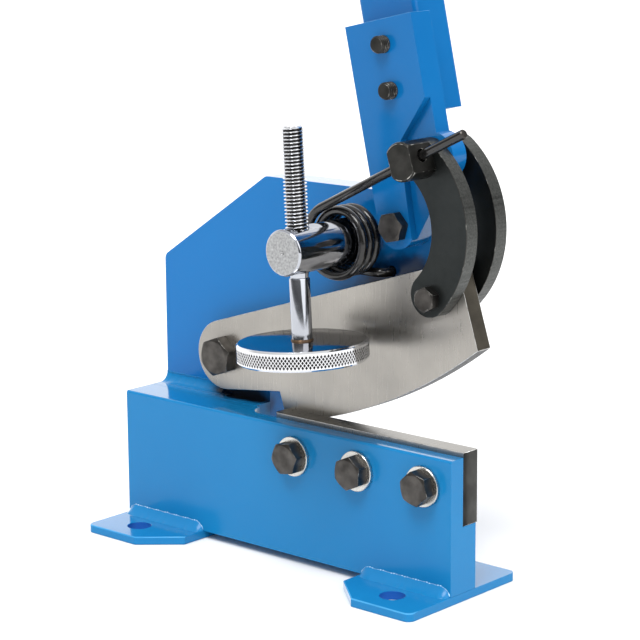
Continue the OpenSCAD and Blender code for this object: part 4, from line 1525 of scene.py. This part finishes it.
@dataclass
class Links:
    """Pair of curved links with their lower bolt and upper pin."""

    shop: Workshop
    lower: Place = (235.515, 167.427)
    upper: Place = PIN_PLACE
    front: float = 14.2
    rear: float = 51.3
    pin: float = 12.0
    pin_washer: float = 9.0
    pin_slack: float = 0.1
    ring: float = 8.25
    ring_slack: float = 0.05
    ring_edge: float = 0.2
    ring_gap: float = 24.0
    ring_steps: int = 72
    side_gap: float = 0.1
    washer_thickness: float = 2.0

    def build(self) -> None:
        """Builds the links, their bolt and the pin."""

        def by_side(normal: Vector, _: Vector) -> int:
            """The rim is sawn, the faces are blackened."""
            return int(abs(normal.y) <= FACING)

        for side in ("front", "rear"):
            self.shop.dress(f"{side}_curved_link", f"{side}_link", Body.LINKS, Slot.BLACK,
                            (Finish.LINK_BLACK, Finish.SAWN, Finish.LINK_EDGE),
                            Rounding(0.28, 2, 2), by_side)
        ThroughBolt("link", Body.LINKS, self.lower, self.front, self.rear, diameter=8, pitch=1.25,
                    flats=13, head=6, turn=27).build(self.shop)
        self.shop.dress("cross_drilled_pin", "link_pin", Body.PIN, Slot.BLACK,
                        (Finish.PIN_BLACK, Finish.WORN), Rounding(0.35, 2, 1))
        x, z = self.upper
        seat = Vector((x, self.rear + self.side_gap, z))
        washer = Shape()
        washer.washer(seat, TO_REAR, self.pin / 2 + self.pin_slack, self.pin_washer,
                      self.washer_thickness)
        self.shop.fit("pin_washer_ring", washer.mesh("pin_washer_ring"), Body.PIN, Slot.BLACK,
                      (Finish.BLACK,), "pin_washer")
        self.retaining_ring(seat + TO_REAR * self.washer_thickness)

    def retaining_ring(self, origin: Vector) -> None:
        """Builds the open spring ring that holds the pin.

        Args:
            origin: Middle of its front face.
        """
        shape = Shape()
        inner, outer = self.pin / 2 + self.ring_slack, self.ring
        edge, thick = self.ring_edge, self.washer_thickness
        section = [(inner, edge), (outer - edge, 0), (outer, edge), (outer, thick - edge),
                   (outer - edge, thick), (inner, thick - edge)]
        half_gap = math.radians(self.ring_gap) / 2
        rows = []
        for angle in spaced(half_gap, FULL_TURN - half_gap, self.ring_steps):
            out = Vector((math.sin(angle), 0, -math.cos(angle)))
            rows.append(shape.row(origin + out * reach + TO_REAR * y for reach, y in section))
        shape.bar(rows)
        self.shop.fit("pin_open_ring", shape.mesh("pin_open_ring"), Body.PIN, Slot.BLACK,
                      (Finish.BLACK,), "pin_retaining_ring")


@dataclass
class ReturnSpring:
    """Wire spring wound round the post, its arm reaches through the link pin."""

    shop: Workshop
    axis: Place = POST_PLACE
    ear: Place = PIN_PLACE
    wire: float = 5.5
    wire_sides: int = 20
    coil_radius: float = 18.5
    arm_offset: float = 22.1
    arm_steps: int = 36
    turns: int = 3
    pitch: float = 5.95
    settle_turn: float = 270.0
    beyond: float = 41.0
    arm_back: float = 7.6
    arm_front: float = 4.9
    leg_run: float = 13.0
    leg_steps: int = 6
    leg_bend: float = 6.5
    bend_steps: int = 8
    end_y: float = 45.4
    steps_per_turn: int = 40
    tip_length: float = 0.7
    tip_edge: float = 0.6
    twist_start: float = 27.0
    twist_end: float = 8.0

    def path(self) -> list[Vector]:
        """Gives the wire's middle line from the arm's free end to the end in the upright."""
        x0, z0 = self.axis
        reach = math.dist(self.axis, self.ear)
        angle = math.atan2(self.ear[1] - z0, self.ear[0] - x0) - math.asin(self.arm_offset / reach)
        length = math.sqrt(reach ** 2 - self.arm_offset ** 2)
        along = Vector((math.cos(angle), 0, math.sin(angle)))
        out = Vector((-math.sin(angle), 0, math.cos(angle)))

        def ease(share: float) -> float:
            """Runs smoothly from 0 to 1."""
            return (1 - math.cos(math.pi * min(1.0, share))) / 2

        points = []
        for i in range(self.arm_steps):
            run = (length + self.beyond) * (1 - i / self.arm_steps)
            drop = ease(max(0.0, 1 - run / length))
            y = self.arm_front + (self.arm_back - self.arm_front) * drop
            points.append(Vector((x0, y, z0)) + along * run + out * self.arm_offset)
        start = math.degrees(angle) + 90
        total = 270 - start + 360 * self.turns
        for turn in spaced(0, total, math.ceil(total / 360 * self.steps_per_turn)):
            settled = ease(turn / self.settle_turn)
            radius = self.arm_offset + (self.coil_radius - self.arm_offset) * settled
            a = math.radians(start + turn)
            y = self.arm_back + self.pitch * turn / 360
            points.append(Vector((x0 + radius * math.cos(a), y, z0 + radius * math.sin(a))))
        last = points[-1]
        points += [last + Vector((run, 0, 0))
                   for run in spaced(0, self.leg_run, self.leg_steps)[1:-1]]
        for a in spaced(0, math.pi / 2, self.bend_steps):
            points.append(last + Vector((self.leg_run + self.leg_bend * math.sin(a),
                                         self.leg_bend * (1 - math.cos(a)), 0)))
        points.append(Vector((points[-1].x, self.end_y, points[-1].z)))
        return points

    def build(self) -> None:
        """Builds the wire."""
        shape = Shape()
        path = self.path()
        half = self.wire / 2
        end = path[0]
        tip = (end - path[1]).normalized()
        path[:1] = [end, end - tip * self.tip_length]
        shape.sweep(path, [half - self.tip_edge] + [half] * (len(path) - 1), self.wire_sides)

        def at_tip(middle: Vector) -> int:
            """The arm's cut end is blackened."""
            return int((middle - end).length < half and (middle - end).dot(tip) > -0.5)

        shape.finish_faces(at_tip)
        piece = self.shop.fit(
            "wound_return_spring", shape.mesh("wound_return_spring"), None, Slot.SPRING,
            (Finish.SPRING, Finish.BLACK), "return_spring")
        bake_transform(piece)


@dataclass
class Studio:
    """Pale floor, soft light and the camera."""

    floor_half: float = 14.0
    floor_height: float = -0.0002
    floor_greys: Place = (0.9, 0.93)
    lights: tuple[tuple[str, float, float, Point], ...] = (
        ("key_light", 2.15, 30, (31, 0, 14)), ("fill_light", 1.3, 60, (60, 0, 80)))
    sky: tuple[Place, ...] = ((0.0, 0.28), (0.08, 0.12), (0.3, 0.28), (0.5, 0.7), (1.0, 0.95))
    backdrop: float = 1.35
    backdrop_edge: Place = (0.15, 0.6)
    position: Point = (0.86709, -0.91959, 0.41840)
    azimuth: float = 41.59
    elevation: float = 11.94
    roll: float = -0.39
    lens: float = 123.92
    sensor: float = 36.0
    shift: Place = (-0.0021, -0.0004)
    clip: Place = (0.05, 60)

    def build(self) -> None:
        """Builds floor, light and camera."""
        self.build_floor()
        self.build_sky()
        self.build_lights()
        self.build_camera()

    def build_floor(self) -> None:
        """Builds the floor as one plain sheet."""
        mesh = bpy.data.meshes.new("studio_floor")
        corners = ((-1, -1), (1, -1), (1, 1), (-1, 1))
        mesh.from_pydata([(x * self.floor_half, y * self.floor_half, self.floor_height)
                          for x, y in corners], [], [(0, 1, 2, 3)])
        recipe = Recipe("pale_floor", Roughness=0.9, Specular_IOR_Level=0.1)
        dark, light = ((grey, grey, grey, 1) for grey in self.floor_greys)
        recipe.feed("Base Color", recipe.mottle(recipe.noise(1.5, 2), dark, light))
        mesh.materials.append(recipe.material)
        add_object("studio_floor", mesh)

    def build_sky(self) -> None:
        """Builds a sky by height, with the bright backdrop behind the shear."""
        world = bpy.data.worlds.new("studio_sky")
        bpy.context.scene.world = world
        tree = Tree(world)
        where = tree.add("TexCoord").outputs["Generated"]
        split = tree.add("SeparateXYZ")
        tree.link(where, split.inputs["Vector"])
        azimuth = math.radians(self.azimuth)
        behind = tree.add("VectorMath", "DOT_PRODUCT")
        behind.inputs[1].default_value = (-math.sin(azimuth), math.cos(azimuth), 0)
        tree.link(where, behind.inputs[0])
        brighter = tree.add("Math", "MAXIMUM")
        greys = [(place, (grey, grey, grey, 1)) for place, grey in self.sky]
        tree.link(tree.ramp(split.outputs["Z"], greys), brighter.inputs[0])
        tree.link(tree.spread(behind.outputs["Value"], 0.0, self.backdrop, *self.backdrop_edge),
                  brighter.inputs[1])
        sky = tree.add("Background")
        tree.link(brighter.outputs["Value"], sky.inputs["Color"])
        tree.link(sky.outputs["Background"], tree.add("OutputWorld").inputs["Surface"])

    def build_lights(self) -> None:
        """Builds a soft key light and a weak fill, and keeps colours as they are."""
        for name, strength, spread, turn in self.lights:
            light = bpy.data.lights.new(name, "SUN")
            light.energy = strength
            light.angle = math.radians(spread)
            add_object(name, light).rotation_euler = [math.radians(a) for a in turn]
        view = bpy.context.scene.view_settings
        view.view_transform = "Standard"
        view.look = "None"

    def build_camera(self) -> None:
        """Sets the camera at the photograph's place."""
        data = bpy.data.cameras.new("studio_camera")
        data.sensor_width = self.sensor
        data.lens = self.lens
        data.shift_x, data.shift_y = self.shift
        data.clip_start, data.clip_end = self.clip
        camera = add_object("studio_camera", data)
        azimuth, elevation, roll = map(math.radians, (self.azimuth, self.elevation, self.roll))
        level = math.cos(elevation)
        ahead = Vector(
            (-math.sin(azimuth) * level, math.cos(azimuth) * level, -math.sin(elevation)))
        right = Vector((math.cos(azimuth), math.sin(azimuth), 0))
        up = right.cross(ahead)
        across = right * math.cos(roll) + up * math.sin(roll)
        upright = up * math.cos(roll) - right * math.sin(roll)
        turn = Matrix((across, upright, -ahead)).transposed().to_4x4()
        camera.matrix_world = Matrix.Translation(self.position) @ turn
        bpy.context.scene.camera = camera


def main() -> None:
    """Builds the shear's looks."""
    logging.basicConfig(level=logging.INFO, format="%(message)s")
    shop = Workshop()
    Studio().build()
    Frame(shop).build()
    FixedBlade(shop).build()
    ThroughBolt("blade_pivot", Body.FRAME, BLADE_PIVOT, 24.2, UPRIGHT_REAR, diameter=14, pitch=2.0,
                flats=22, head=8.8, turn=20.5).build(shop)
    ThroughBolt("lever_pivot", Body.FRAME, LEVER_PIVOT, 19.2, UPRIGHT_REAR, diameter=10, pitch=1.5,
                flats=16, head=6.6, turn=13).build(shop)
    HoldDown(shop).build()
    MovingBlade(shop).build()
    Lever(shop).build()
    Links(shop).build()
    ReturnSpring(shop).build()


if __name__ == "__main__":
    main()
